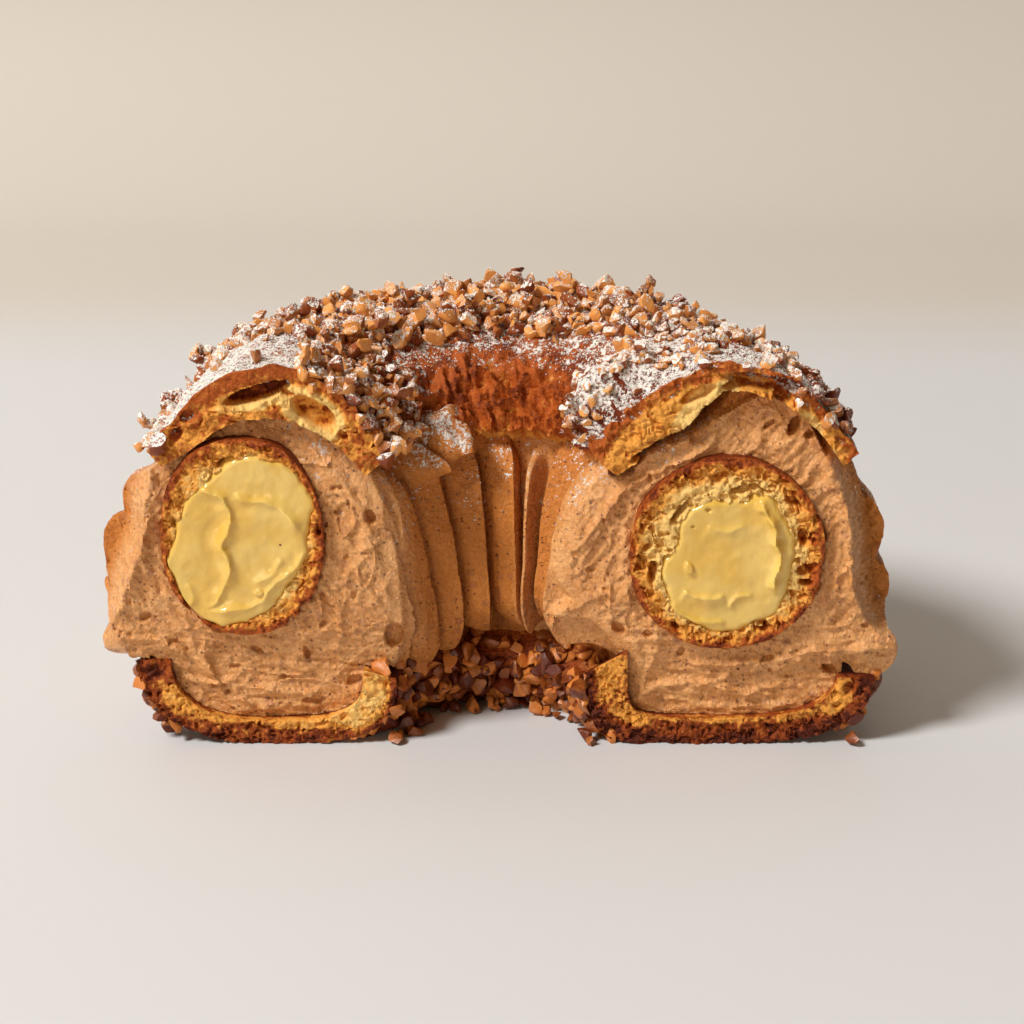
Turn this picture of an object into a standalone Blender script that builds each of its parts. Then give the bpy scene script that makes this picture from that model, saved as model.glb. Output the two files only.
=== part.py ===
"""Half of a filled paris-brest ring, cut straight through its middle.

A trough of baked choux carries a tall piped body of praline cream, a second, thinner choux ring filled
with pastry cream runs through the middle of the cream, and a domed choux lid sits on top. Every layer is
swept round the same half circle, from the left cut, round the back, to the right cut, so each one shows
at both cut faces. The pastry rests on the flat foot of its trough. Metres, +Z up, cuts facing -Y.
"""

import math
from collections import namedtuple

import bmesh
import bpy
from mathutils import Vector, noise

# What one cross-section measures. r runs outwards from the ring's upright axis, z upwards.
Section = namedtuple(
    "Section",
    "middle cream_top"  # the cream's mid radius and its highest point
    " cream_in belly_in shoulder_in"  # inner half width, the height it has it at, roundness above (2 = ellipse)
    " cream_out belly_out shoulder_out"  # the same on the outer side
    " rim_z floor wall"  # the trough's rim height, floor and wall
    " base_in foot_in base_out foot_out"  # the trough's half widths at the rim, roundness of its two feet
    " tube_r tube_z tube_wide tube_high tube_wall"  # the inner choux ring's centre, half sizes and wall
    " lid_outer lid_inner lid_crown lid_rim",  # the angles the lid ends at and its thickest and thinnest
)
LEFT = Section(
    middle=0.0465, cream_top=0.0665,
    cream_in=0.0275, belly_in=0.0290, shoulder_in=2.3,
    cream_out=0.0275, belly_out=0.0270, shoulder_out=2.2,
    rim_z=0.0160, floor=0.0040, wall=0.0055,
    base_in=0.0265, foot_in=3.6, base_out=0.0225, foot_out=2.1,
    tube_r=0.0495, tube_z=0.0425, tube_wide=0.0150, tube_high=0.0190, tube_wall=0.0026,
    lid_outer=51.0, lid_inner=140.0, lid_crown=0.0095, lid_rim=0.0034,
)
BACK = Section(
    middle=0.0455, cream_top=0.0675,
    cream_in=0.0290, belly_in=0.0330, shoulder_in=2.2,
    cream_out=0.0285, belly_out=0.0270, shoulder_out=2.1,
    rim_z=0.0175, floor=0.0042, wall=0.0055,
    base_in=0.0275, foot_in=6.0, base_out=0.0265, foot_out=2.8,
    tube_r=0.0470, tube_z=0.0405, tube_wide=0.0160, tube_high=0.0185, tube_wall=0.0035,
    lid_outer=46.0, lid_inner=143.0, lid_crown=0.0090, lid_rim=0.0040,
)
RIGHT = Section(
    middle=0.0420, cream_top=0.0715,
    cream_in=0.0305, belly_in=0.0370, shoulder_in=1.6,
    cream_out=0.0300, belly_out=0.0230, shoulder_out=2.05,
    rim_z=0.0165, floor=0.0045, wall=0.0065,
    base_in=0.0250, foot_in=6.0, base_out=0.0295, foot_out=2.8,
    tube_r=0.0430, tube_z=0.0385, tube_wide=0.0172, tube_high=0.0180, tube_wall=0.0050,
    lid_outer=43.0, lid_inner=141.0, lid_crown=0.0048, lid_rim=0.0032,
)

GAP = 0.0004  # clearance that touching layers keep between their faceted surfaces
HEM_SQUARE = 3.0  # roundness of the cream where it turns in above the trough's rim
HEM = 38.0  # degrees below its widest height where that turn ends
RIM_SHOWS = 0.0006  # the rim's outer edge stands out from under the cream by this much
FOOT_SUNK = 0.0010  # the trough's round bottom is planed off this far up, which leaves the flat foot

OUTER_RUFFLES, OUTER_RUFFLE_DEPTH, OUTER_CREST = 12, 0.0034, 1.4
INNER_RUFFLES, INNER_RUFFLE_DEPTH, INNER_CREST = 8, 0.0019, 0.8
RUFFLE_LEAN = 0.035  # how much of the half ring a ridge leans over from the rim to the lid
CRUST_LUMP, CRUST_LUMP_SIZE = 0.0016, 0.013  # how far the baked lid swells in lumps, and their size
RIM_WAVE, RIM_WAVES = 0.0006, 6
BULGE_TURN, BULGE_WIDTH, BULGE = 0.86, 0.09, 0.0055  # the lid's inner rim swells over the hole near the right cut

# Baking bubbles that the cut opens in the lid: side of the ring, r, z, half sizes along and across, tilt.
BUBBLES = (
    ("left", 0.0445, 0.0707, 0.0068, 0.0011, 17.0),
    ("left", 0.0342, 0.0668, 0.0046, 0.0013, -38.0),
)
BUBBLE_DEPTH, BUBBLE_SUNK = 0.0050, 0.0011  # half its depth, and how far its middle lies behind the cut

CREAM_STATIONS, LAYER_STATIONS = 55, 30
BELL_POINTS, TUBE_POINTS, SHELL_POINTS = 21, 14, 10

CRUST_BROWN = (0.52, 0.25, 0.09, 1.0)
CRUMB_BROWN = (0.62, 0.36, 0.15, 1.0)
PRALINE_TAN = (0.56, 0.34, 0.18, 1.0)
CUSTARD_YELLOW = (0.86, 0.66, 0.26, 1.0)


def smooth_step(x):
    x = min(max(x, 0.0), 1.0)
    return x * x * (3 - 2 * x)


def section_at(turn):
    """The cross-section's sizes, turn running from 0 at the left cut to 1 at the right cut."""
    left = smooth_step(1 - 2 * turn)
    right = smooth_step(2 * turn - 1)
    back = 1 - left - right
    s = Section(*(left * a + back * b + right * c for a, b, c in zip(LEFT, BACK, RIGHT)))
    return s._replace(rim_z=s.rim_z + RIM_WAVE * math.sin(2 * math.pi * RIM_WAVES * turn))


def place(turn, r, z):
    """A point of the cross-section at this turn of the half ring."""
    angle = math.pi * turn
    return Vector((-r * math.cos(angle), r * math.sin(angle), z))


def power(value, square):
    """The superellipse's rounded corner: value's sign with its size to the power 2 / square."""
    return math.copysign(abs(value) ** (2 / square), value)


def spread(first, last, count):
    return [first + (last - first) * i / (count - 1) for i in range(count)]


def ruffle(turn, count, crest):
    """The piped ridges, from -1 in a groove to 1 on a crest. A lower crest value is a sharper ridge."""
    return 1 - 2 * abs(math.cos(math.pi * count * turn)) ** crest


def cream_bell(turn, degrees, grow=0.0, ruffled=True):
    """A point of the piped cream above the trough: outside at -HEM, over the top at 90, inside at 180 + HEM."""
    s = section_at(turn)
    out = math.cos(math.radians(degrees))
    rise = math.sin(math.radians(degrees))
    if out > 0:
        half, belly, shoulder = s.cream_out, s.belly_out, s.shoulder_out
    else:
        half, belly, shoulder = s.cream_in, s.belly_in, s.shoulder_in
    square = shoulder if rise > 0 else HEM_SQUARE
    r = s.middle + half * power(out, square)
    z = belly + power(rise, square) * (s.cream_top - belly if rise > 0 else belly - s.rim_z)
    if ruffled:
        # The ridges fade out just below the lid and where the cream turns in over the rim.
        lid_edge = s.lid_outer if out > 0 else 180 - s.lid_inner
        from_side = degrees if out > 0 else 180 - degrees
        fade = smooth_step((lid_edge - 4 - from_side) / 18) * smooth_step((from_side + HEM) / 14)
        along = turn + RUFFLE_LEAN * (from_side / 90) * math.sin(math.pi * turn)
        if out > 0:
            grow += OUTER_RUFFLE_DEPTH * fade * ruffle(along, OUTER_RUFFLES, OUTER_CREST)
        else:
            grow += INNER_RUFFLE_DEPTH * fade * ruffle(along, INNER_RUFFLES, INNER_CREST)
    return r + grow * out, z + grow * rise


def trough_bowl(turn, degrees, wall, floor):
    """A point of the trough, this wall inside its outside, from 180 at the inner rim to 360 at the outer rim."""
    s = section_at(turn)
    out = math.cos(math.radians(degrees))
    half, square = (s.base_out, s.foot_out) if out > 0 else (s.base_in, s.foot_in)
    sink = power(math.sin(math.radians(degrees)), square)
    return s.middle + (half - wall) * power(out, square), s.rim_z + (s.rim_z - floor) * sink


def cream_outline(turn):
    s = section_at(turn)
    bell = [cream_bell(turn, d) for d in spread(-HEM, 180 + HEM, BELL_POINTS)]
    angles = spread(180, 360, SHELL_POINTS)[1:-1]
    plug = [trough_bowl(turn, d, s.wall + GAP, s.floor + GAP) for d in angles]
    on_rim = s.rim_z + GAP
    inner_rim = [(s.middle - s.base_in + gap, on_rim) for gap in (RIM_SHOWS, s.wall + GAP)]
    outer_rim = [(s.middle + s.base_out - gap, on_rim) for gap in (s.wall + GAP, RIM_SHOWS)]
    return bell + inner_rim + plug + outer_rim


def base_outline(turn):
    s = section_at(turn)
    outside = [trough_bowl(turn, d, 0.0, -FOOT_SUNK) for d in spread(180, 360, SHELL_POINTS + 2)]
    inside = [trough_bowl(turn, d, s.wall, s.floor) for d in spread(360, 180, SHELL_POINTS)]
    return [(r, max(z, 0.0)) for r, z in outside] + inside


def lid_outline(turn):
    s = section_at(turn)
    angles = spread(s.lid_outer, s.lid_inner, SHELL_POINTS + 1)
    inside = [cream_bell(turn, d, GAP, ruffled=False) for d in reversed(angles)]
    outside = []
    for i, degrees in enumerate(angles):
        crown = math.sin(math.pi * i / (len(angles) - 1)) ** 0.7
        r, z = cream_bell(turn, degrees, ruffled=False)
        lump = CRUST_LUMP * max(noise.noise(place(turn, r, z) / CRUST_LUMP_SIZE), -0.3)
        bulge = BULGE * smooth_step(1 - abs(turn - BULGE_TURN) / BULGE_WIDTH)
        bulge *= smooth_step((degrees - 95) / 35)
        thick = s.lid_rim + (s.lid_crown - s.lid_rim) * crown + lump + bulge
        outside.append(cream_bell(turn, degrees, thick, ruffled=False))
    return outside + inside


def tube_outline(turn, inset):
    """The inner choux ring's outline, drawn in by inset. The bore that holds it has a negative inset."""
    s = section_at(turn)
    wide, high = s.tube_wide - inset, s.tube_high - inset
    turns = [2 * math.pi * i / TUBE_POINTS for i in range(TUBE_POINTS)]
    return [(s.tube_r + wide * math.cos(a), s.tube_z + high * math.sin(a)) for a in turns]


def plain_material(name, colour, roughness):
    material = bpy.data.materials.new(name)
    material.use_nodes = True
    shader = material.node_tree.nodes["Principled BSDF"]
    shader.inputs["Base Color"].default_value = colour
    shader.inputs["Roughness"].default_value = roughness
    shader.inputs["Metallic"].default_value = 0.0
    return material


def swept(name, skins, colour, roughness, collection, root):
    """One closed solid. Each skin is (outline function, stations): the first is the outside, any other a bore."""
    bm = bmesh.new()
    end_edges = ([], [])
    for outline, stations in skins:
        rings = [
            [bm.verts.new(place(turn, r, z)) for r, z in outline(turn)]
            for turn in spread(0.0, 1.0, stations)
        ]
        for near, far in zip(rings, rings[1:]):
            for i in range(len(near)):
                j = (i + 1) % len(near)
                bm.faces.new((near[i], near[j], far[j], far[i]))
        for edges, ring in zip(end_edges, (rings[0], rings[-1])):
            edges += [bm.edges.get((ring[i - 1], ring[i])) for i in range(len(ring))]
    for edges in end_edges:
        bmesh.ops.triangle_fill(bm, use_beauty=True, edges=edges)
    bmesh.ops.recalc_face_normals(bm, faces=bm.faces)
    mesh = bpy.data.meshes.new(name)
    bm.to_mesh(mesh)
    bm.free()
    mesh.shade_smooth()
    mesh.set_sharp_from_angle(angle=math.radians(50))
    mesh.materials.append(plain_material(name, colour, roughness))
    layer = bpy.data.objects.new(name, mesh)
    layer.parent = root
    collection.objects.link(layer)
    return layer


def open_bubble(lid, name, bubble, cutters, root):
    """Cuts one flat baking bubble out of the lid where the knife went through it."""
    side, r, z, along, across, tilt = bubble
    turn = 0.0 if side == "left" else 1.0
    bpy.ops.mesh.primitive_uv_sphere_add(segments=12, ring_count=8, radius=1.0)
    cutter = bpy.context.object
    cutter.name = name
    cutter.scale = (along, BUBBLE_DEPTH, across)
    lean = -tilt if side == "left" else tilt
    cutter.rotation_euler = (0.0, math.radians(lean), 0.0)
    cutter.location = place(turn, r, z) + Vector((0.0, BUBBLE_SUNK, 0.0))
    cutter.parent = root
    cutter.hide_render = True
    cutter.display_type = "WIRE"
    for collection in list(cutter.users_collection):
        collection.objects.unlink(cutter)
    cutters.objects.link(cutter)
    cut = lid.modifiers.new(name, "BOOLEAN")
    cut.operation = "DIFFERENCE"
    cut.solver = "EXACT"
    cut.object = cutter


def centre(root, layers):
    """Moves the ring's axis so that the pastry's box is centred on the origin with its foot at z = 0."""
    points = [v.co for layer in layers for v in layer.data.vertices]
    low, high = (Vector([pick(p[i] for p in points) for i in range(3)]) for pick in (min, max))
    root.location = (-(low.x + high.x) / 2, -(low.y + high.y) / 2, -low.z)


def main():
    for obj in list(bpy.data.objects):
        bpy.data.objects.remove(obj)
    pastry = bpy.data.collections.new("paris_brest_half")
    cutters = bpy.data.collections.new("cutters")
    bpy.context.scene.collection.children.link(pastry)
    bpy.context.scene.collection.children.link(cutters)
    root = bpy.data.objects.new("ring_axis", None)
    pastry.objects.link(root)

    base = swept("base_choux", [(base_outline, LAYER_STATIONS)], CRUST_BROWN, 0.7, pastry, root)
    bore = (lambda turn: tube_outline(turn, -GAP), LAYER_STATIONS)
    cream = swept(
        "praline_cream", [(cream_outline, CREAM_STATIONS), bore], PRALINE_TAN, 0.45, pastry, root
    )
    tube_outside = (lambda turn: tube_outline(turn, 0.0), LAYER_STATIONS)
    tube_inside = (lambda turn: tube_outline(turn, section_at(turn).tube_wall), LAYER_STATIONS)
    tube = swept("inner_choux", [tube_outside, tube_inside], CRUMB_BROWN, 0.75, pastry, root)
    filling = (lambda turn: tube_outline(turn, section_at(turn).tube_wall + GAP), LAYER_STATIONS)
    custard = swept("pastry_cream", [filling], CUSTARD_YELLOW, 0.25, pastry, root)
    lid = swept("top_choux", [(lid_outline, LAYER_STATIONS)], CRUST_BROWN, 0.7, pastry, root)
    for number, bubble in enumerate(BUBBLES, 1):
        open_bubble(lid, f"bubble_{number}", bubble, cutters, root)
    centre(root, (base, cream, tube, custard, lid))


if __name__ == "__main__":
    main()
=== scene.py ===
"""Half of a filled paris-brest ring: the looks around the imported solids.

Each layer is a ring of circular section, spun round the pastry's upright axis and shaped to the layer's own
section, then cut at both ends by a blade whose face carries the relief of the cut. Chopped nuts and icing
sugar are scattered over the lid and round the foot as real pieces. Shapes are worked out in millimetres from
the ring's axis, with x to the right lobe, y away from the cut and z up.
"""

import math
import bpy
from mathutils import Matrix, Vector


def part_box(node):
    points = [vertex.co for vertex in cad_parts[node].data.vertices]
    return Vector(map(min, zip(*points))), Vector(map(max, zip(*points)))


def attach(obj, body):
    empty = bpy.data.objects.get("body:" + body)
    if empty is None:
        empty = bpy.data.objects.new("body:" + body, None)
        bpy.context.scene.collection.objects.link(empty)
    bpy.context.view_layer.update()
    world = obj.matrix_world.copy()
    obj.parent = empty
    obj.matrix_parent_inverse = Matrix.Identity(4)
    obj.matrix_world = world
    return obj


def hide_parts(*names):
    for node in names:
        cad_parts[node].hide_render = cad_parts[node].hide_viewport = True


bl_info = {
    "name": "Paris-brest half",
    "version": (1, 0, 0),
    "blender": (4, 5, 0),
    "location": "View3D > Sidebar > Pastry",
    "description": "Models a cut half of a filled choux ring with nuts and icing sugar",
    "category": "Add Mesh",
}

from types import SimpleNamespace

import bpy
import numpy as np
from mathutils import Matrix, Vector
from mathutils.bvhtree import BVHTree

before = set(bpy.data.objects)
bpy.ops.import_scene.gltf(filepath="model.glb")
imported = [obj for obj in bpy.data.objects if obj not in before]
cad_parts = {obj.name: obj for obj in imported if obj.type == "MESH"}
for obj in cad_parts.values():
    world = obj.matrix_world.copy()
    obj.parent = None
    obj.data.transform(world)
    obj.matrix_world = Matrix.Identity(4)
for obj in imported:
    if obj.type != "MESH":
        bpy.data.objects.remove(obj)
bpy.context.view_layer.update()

MM = 0.001
CUT_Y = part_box("praline_cream")[0][1]

# Sizes of the cross-section in millimetres at the left cut, the back and the right cut, as in the solids.
SECTIONS = {
    "middle": (46.5, 45.5, 42.0),
    "top": (66.5, 67.5, 71.5),
    "cream_in": (27.5, 29.0, 30.5),
    "belly_in": (29.0, 33.0, 37.0),
    "shoulder_in": (2.3, 2.2, 1.6),
    "cream_out": (27.5, 28.5, 30.0),
    "belly_out": (27.0, 27.0, 23.0),
    "shoulder_out": (2.2, 2.1, 2.05),
    "rim": (16.0, 17.5, 16.5),
    "floor": (4.0, 4.2, 4.5),
    "wall": (5.5, 5.5, 6.5),
    "base_in": (26.5, 27.5, 25.0),
    "foot_in": (3.6, 6.0, 6.0),
    "base_out": (22.5, 26.5, 29.5),
    "foot_out": (2.1, 2.8, 2.8),
    "tube_r": (48.2, 46.6, 42.4),
    "tube_z": (42.5, 40.5, 39.2),
    "tube_wide": (15.3, 16.0, 18.2),
    "tube_high": (19.5, 18.5, 18.9),
    "tube_wall": (2.8, 3.5, 5.2),
    "lid_outer": (51.0, 46.0, 43.0),
    "lid_inner": (140.0, 143.0, 141.0),
    "lid_crown": (9.5, 9.0, 4.8),
    "lid_rim": (3.4, 4.0, 3.2),
}
AXIS_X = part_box("pastry_cream")[0][0] + 61.5 * MM
LEFT, RIGHT = -1, 1  # the two cuts
HEM = 38.0  # degrees that the cream's outline runs on below its widest part, on both sides
BEYOND = 8.0  # how far the rings run past the cut before the blade takes that off
DEEP = 8.0  # crumb further in than this is all alike
TUBE_SQUARE = 2.15  # how square the inner ring's section is; 2 is an ellipse
LUMP_TURN = 0.865  # where a lump of dough has risen beside the hole
FLAP_TURN = 0.315  # where cream is squeezed out under the lid
NUT_KINDS = 14
BASE_TRIES = 5200  # tries at placing a nut on the base
BARE = 1.4  # no nut of the base lies nearer a cut face than this
LOOSE_NUTS = 46

# ---------------------------------------------------------------- repeatable unevenness


def scramble(cell, seed):
    """A repeatable random whole number for every whole-numbered point."""
    n = cell[..., 0] * 374761393 + cell[..., 1] * 668265263 + cell[..., 2] * 1440662683 + seed * 1013904223
    n = (n ^ (n >> 13)) & 0x7FFFFFFF
    n = (n * 1274126177) & 0x7FFFFFFF
    n = (n ^ (n >> 15)) & 0x7FFFFFFF
    n = (n * 668265263) & 0x7FFFFFFF
    return (n ^ (n >> 16)) & 0xFFFF


def lattice(cell, seed):
    """The same as a number from 0 to 1."""
    return scramble(cell, seed) / 0xFFFF


WAYS = np.random.default_rng(5).uniform(-1, 1, (1024, 3))


def cloud(points, size, seed=0, octaves=1):
    """Smooth lumps of about this size in millimetres, from about -1 to 1."""
    total, weight, norm = 0.0, 1.0, 0.0
    for octave in range(octaves):
        p = points / (size / 2**octave)
        cell = np.floor(p).astype(np.int64)
        f = p - cell
        fade = f * f * f * (f * (f * 6 - 15) + 10)
        value = np.zeros(points.shape[:-1])
        for corner in np.ndindex(2, 2, 2):
            corner = np.array(corner)
            share = np.prod(np.where(corner, fade, 1 - fade), axis=-1)
            way = WAYS[scramble(cell + corner, seed + 31 * octave) & 1023]
            value += share * (way * (f - corner)).sum(axis=-1)
        total += weight * value * 1.6
        norm += weight
        weight *= 0.5
    return total / norm


def clouds(points, *layers):
    """The sum of several clouds, each given as (strength, size, seed) and maybe octaves."""
    return sum(strength * cloud(points, *more) for strength, *more in layers)


def swirl(points, size, one, two):
    """Sideways and upward shifts that bend a pattern on a cut face."""
    return np.stack([cloud(points, size, one), 0 * points[..., 0], cloud(points, size, two)], axis=-1)


def crests(points, size, seed=0, octaves=2):
    """Thin raised crests between smooth hollows, from 0 to 1, as soft cream tears and drags."""
    return (1 - np.clip(np.abs(cloud(points, size, seed, octaves)) * 2.2, 0, 1)) ** 1.6


def foam(points, size, seed=0):
    """Bubbles of about this size: distance to the nearest and the next centre, and a number for each."""
    p = points / size
    cell = np.floor(p).astype(np.int64)
    near = np.full(points.shape[:-1], 9.0)
    second = near.copy()
    which = np.zeros(points.shape[:-1])
    for step in np.ndindex(3, 1, 3):
        c = cell + np.array(step) - np.array((1, 0, 1))
        centre = np.stack([c[..., k] + lattice(c, seed + k) for k in range(3)], axis=-1)
        d = np.sqrt((centre[..., 0] - p[..., 0]) ** 2 + (centre[..., 2] - p[..., 2]) ** 2)
        closer = d < near
        second = np.where(closer, near, np.minimum(second, d))
        which = np.where(closer, lattice(c, seed + 5), which)
        near = np.where(closer, d, near)
    return near, second, which


def step01(x):
    x = np.clip(x, 0.0, 1.0)
    return x * x * (3 - 2 * x)


def climb(x, start, over):
    """Rises smoothly from 0 at the start to 1 this far past it, or before it where over is negative."""
    return step01((x - start) / over)


def hump(x, middle, reach):
    """1 in the middle, falling smoothly to 0 this far to each side."""
    return step01(1 - np.abs((x - middle) / reach))


# ---------------------------------------------------------------- the cross-section


def section(turn):
    """The section's sizes for an array of turns, from 0 at the left cut to 1 at the right cut."""
    turn = np.clip(turn, 0.0, 1.0)
    left, right = step01(1 - 2 * turn), step01(2 * turn - 1)
    back = 1 - left - right
    sizes = {name: left * a + back * b + right * c for name, (a, b, c) in SECTIONS.items()}
    return SimpleNamespace(**sizes)


def end_turn(side):
    return np.float64(side == RIGHT)


def on_side(s, outer, *names):
    """The named sizes, on the outer or the inner side of the section."""
    return [np.where(outer, getattr(s, name + "_out"), getattr(s, name + "_in")) for name in names]


def rounded(across, up, square):
    """How far out a point lies in a rounded square: 0 in the middle, 1 on the edge."""
    return (across**square + up**square) ** (1 / square)


def power(value, square):
    return np.sign(value) * np.abs(value) ** (2 / square)


def slump(turn, degrees):
    """How far the outer shoulder has sunk near the left cut."""
    return 3.4 * hump(degrees, 64, 34) * climb(turn, 0.18, -0.12)


def bell(turn, degrees, grow=0.0):
    """A point of the cream's smooth outline: outside at -HEM, over the top at 90, inside at 180 + HEM."""
    s = section(turn)
    out, rise = np.cos(np.radians(degrees)), np.sin(np.radians(degrees))
    half, belly, shoulder = on_side(s, out > 0, "cream", "belly", "shoulder")
    square = np.where(rise > 0, shoulder, 3.0)
    r = s.middle + half * power(out, square)
    z = belly + power(rise, square) * np.where(rise > 0, s.top - belly, belly - s.rim)
    grow = grow - slump(turn, degrees)
    return r + grow * out, z + grow * rise


def bowl(turn, degrees, wall, floor):
    """A point of the trough, this wall inside its outside: 180 is the inner rim and 360 the outer rim."""
    s = section(turn)
    out = np.cos(np.radians(degrees))
    half, square = on_side(s, out > 0, "base", "foot")
    sink = power(np.sin(np.radians(degrees)), square)
    return s.middle + (half - wall) * power(out, square), s.rim + (s.rim - floor) * sink


def place(turn, r, z, beyond):
    """Millimetres from the ring's axis. Beyond is how far a point lies in front of the cut."""
    angle = math.pi * turn
    return np.stack([-r * np.cos(angle), r * np.sin(angle) - beyond, z], axis=-1)


# ---------------------------------------------------------------- modelling


def get_points(piece):
    """The piece's points in millimetres from the ring's axis."""
    flat = np.empty(len(piece.data.vertices) * 3)
    piece.data.vertices.foreach_get("co", flat)
    points = flat.reshape(-1, 3) - (AXIS_X, CUT_Y, 0.0)
    return points / MM


def set_points(piece, points):
    flat = points * MM + (AXIS_X, CUT_Y, 0.0)
    piece.data.vertices.foreach_set("co", flat.ravel())
    piece.data.update()


def deselect():
    bpy.ops.object.select_all(action="DESELECT")


def select_only(piece):
    deselect()
    piece.select_set(True)
    bpy.context.view_layer.objects.active = piece


def apply_place(piece):
    select_only(piece)
    bpy.ops.object.transform_apply(location=True, rotation=True, scale=True)


def edit(on=True):
    bpy.ops.object.mode_set(mode="EDIT" if on else "OBJECT")


def edit_all():
    edit()
    bpy.ops.mesh.select_all(action="SELECT")


def end_edit(outwards=True):
    """Leaves edit mode, with all faces turned outwards first."""
    if outwards:
        bpy.ops.mesh.select_all(action="SELECT")
        bpy.ops.mesh.normals_make_consistent(inside=False)
    edit(False)


def turns_of(points):
    """Each point's turn round the ring, distance from the ring's axis and height."""
    y = np.maximum(points[:, 1], 0.0)
    return 1 - np.arctan2(y, points[:, 0]) / math.pi, np.hypot(points[:, 0], y), points[:, 2]


def spun_ring(name, sides, stations):
    """A closed half ring of round section, with its ends past the cut. Returns it with each point's turn,
    share of the way round the section from the outside over the top, and distance in front of the cut."""
    deselect()
    radius, middle, height = 20.0, 45.0, 40.0
    bpy.ops.mesh.primitive_circle_add(
        vertices=sides,
        radius=radius * MM,
        location=(AXIS_X - middle * MM, CUT_Y, height * MM),
        rotation=(math.pi / 2, 0, 0),
    )
    ring = bpy.context.object
    ring.name = name
    apply_place(ring)
    edit_all()
    bpy.ops.mesh.spin(
        steps=stations, angle=math.pi, center=(AXIS_X, CUT_Y, 0), axis=(0, 0, 1), use_auto_merge=False
    )
    end_edit(outwards=False)
    at_end = np.abs(get_points(ring)[:, 1]) < 1e-3
    ring.data.vertices.foreach_set("select", at_end)
    ends = np.empty(len(ring.data.edges) * 2, dtype=np.int64)
    ring.data.edges.foreach_get("vertices", ends)
    ring.data.edges.foreach_set("select", at_end[ends.reshape(-1, 2)].all(axis=1))
    ring.data.polygons.foreach_set("select", np.zeros(len(ring.data.polygons), dtype=bool))
    edit()
    bpy.ops.mesh.extrude_region_move(TRANSFORM_OT_translate={"value": (0, -BEYOND * MM, 0)})
    bpy.ops.mesh.select_all(action="SELECT")
    bpy.ops.mesh.fill_holes(sides=0)
    end_edit()
    points = get_points(ring)
    turn, r, z = turns_of(points)
    share = (np.arctan2(z - height, r - middle) / (2 * math.pi) + 0.2) % 1.0
    return ring, turn, share, np.maximum(-points[:, 1], 0.0)


def blade(box, pitch, relief):
    """A block in front of the cut whose far face carries the relief, given as millimetres behind the cut.
    The box is its left, right, bottom and top."""
    left, right, bottom, top = box
    deselect()
    bpy.ops.mesh.primitive_grid_add(
        x_subdivisions=max(2, round((right - left) / pitch)),
        y_subdivisions=max(2, round((top - bottom) / pitch)),
        size=1.0,
        rotation=(-math.pi / 2, 0, 0),
    )
    block = bpy.context.object
    block.scale = ((right - left) * MM, (top - bottom) * MM, 1.0)
    block.location = (AXIS_X + (left + right) / 2 * MM, CUT_Y, (bottom + top) / 2 * MM)
    apply_place(block)
    points = get_points(block)
    points[:, 1] = relief(points)
    set_points(block, points)
    thick = 0.03
    edit_all()
    bpy.ops.mesh.region_to_loop()
    bpy.ops.mesh.extrude_region_move(TRANSFORM_OT_translate={"value": (0, -thick, 0)})
    bpy.ops.transform.resize(value=(1, 0, 1), center_override=(AXIS_X, CUT_Y - thick, 0))
    bpy.ops.mesh.edge_face_add()
    end_edit()
    return block


def cut(piece, block):
    """Takes the block away from the piece and removes it."""
    select_only(piece)
    part = piece.modifiers.new("cut", "BOOLEAN")
    part.operation = "DIFFERENCE"
    part.solver = "MANIFOLD"
    part.object = block
    before = len(piece.data.vertices)
    bpy.ops.object.modifier_apply(modifier=part.name)
    if len(piece.data.vertices) == before:
        raise RuntimeError(f"a blade did not cut {piece.name}")
    bpy.data.objects.remove(block)


def make_layer(name, sides, stations, shape, face, boxes, pitch):
    """Spins a ring, shapes it and cuts both ends. Returns it with its points, turns, radii and heights."""
    piece, turn, share, beyond = spun_ring(name, sides, stations)
    set_points(piece, shape(turn, share, beyond))
    select_only(piece)
    edit_all()
    end_edit()
    for box in boxes:
        cut(piece, blade(box, pitch, face))
    points = get_points(piece)
    return piece, points, *turns_of(points)


def store(piece, name, values):
    """Keeps one number for each point, for the material to read."""
    attribute = piece.data.attributes.new(name, "FLOAT", "POINT")
    attribute.data.foreach_set("value", np.asarray(values, dtype=np.float32))


def finish_piece(piece, material, node=None, sharp=60.0):
    piece.data.materials.clear()
    piece.data.materials.append(material)
    select_only(piece)
    bpy.ops.object.shade_smooth_by_angle(angle=math.radians(sharp))
    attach(piece, "root")
    if node:
        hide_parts(node)
    print(piece.name, "triangles", sum(len(p.vertices) - 2 for p in piece.data.polygons))


# ---------------------------------------------------------------- marks on the cut faces


def curved(path, closed=False):
    """The path, given as x and z by turns, with every stretch curved smoothly through its neighbours."""
    p = np.array(path, float).reshape(-1, 2)
    p = np.vstack([p[-1:], p, p[:2]]) if closed else np.vstack([2 * p[0] - p[1], p, 2 * p[-1] - p[-2]])
    t = np.arange(4)[:, None] / 4
    a, b, c, d = p[:-3, None], p[1:-2, None], p[2:-1, None], p[3:, None]
    curve = 0.5 * (2 * b + (c - a) * t + (2 * a - 5 * b + 4 * c - d) * t**2 + (3 * b - 3 * c + d - a) * t**3)
    return np.vstack([curve.reshape(-1, 2), p[-2:-1]])


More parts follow.
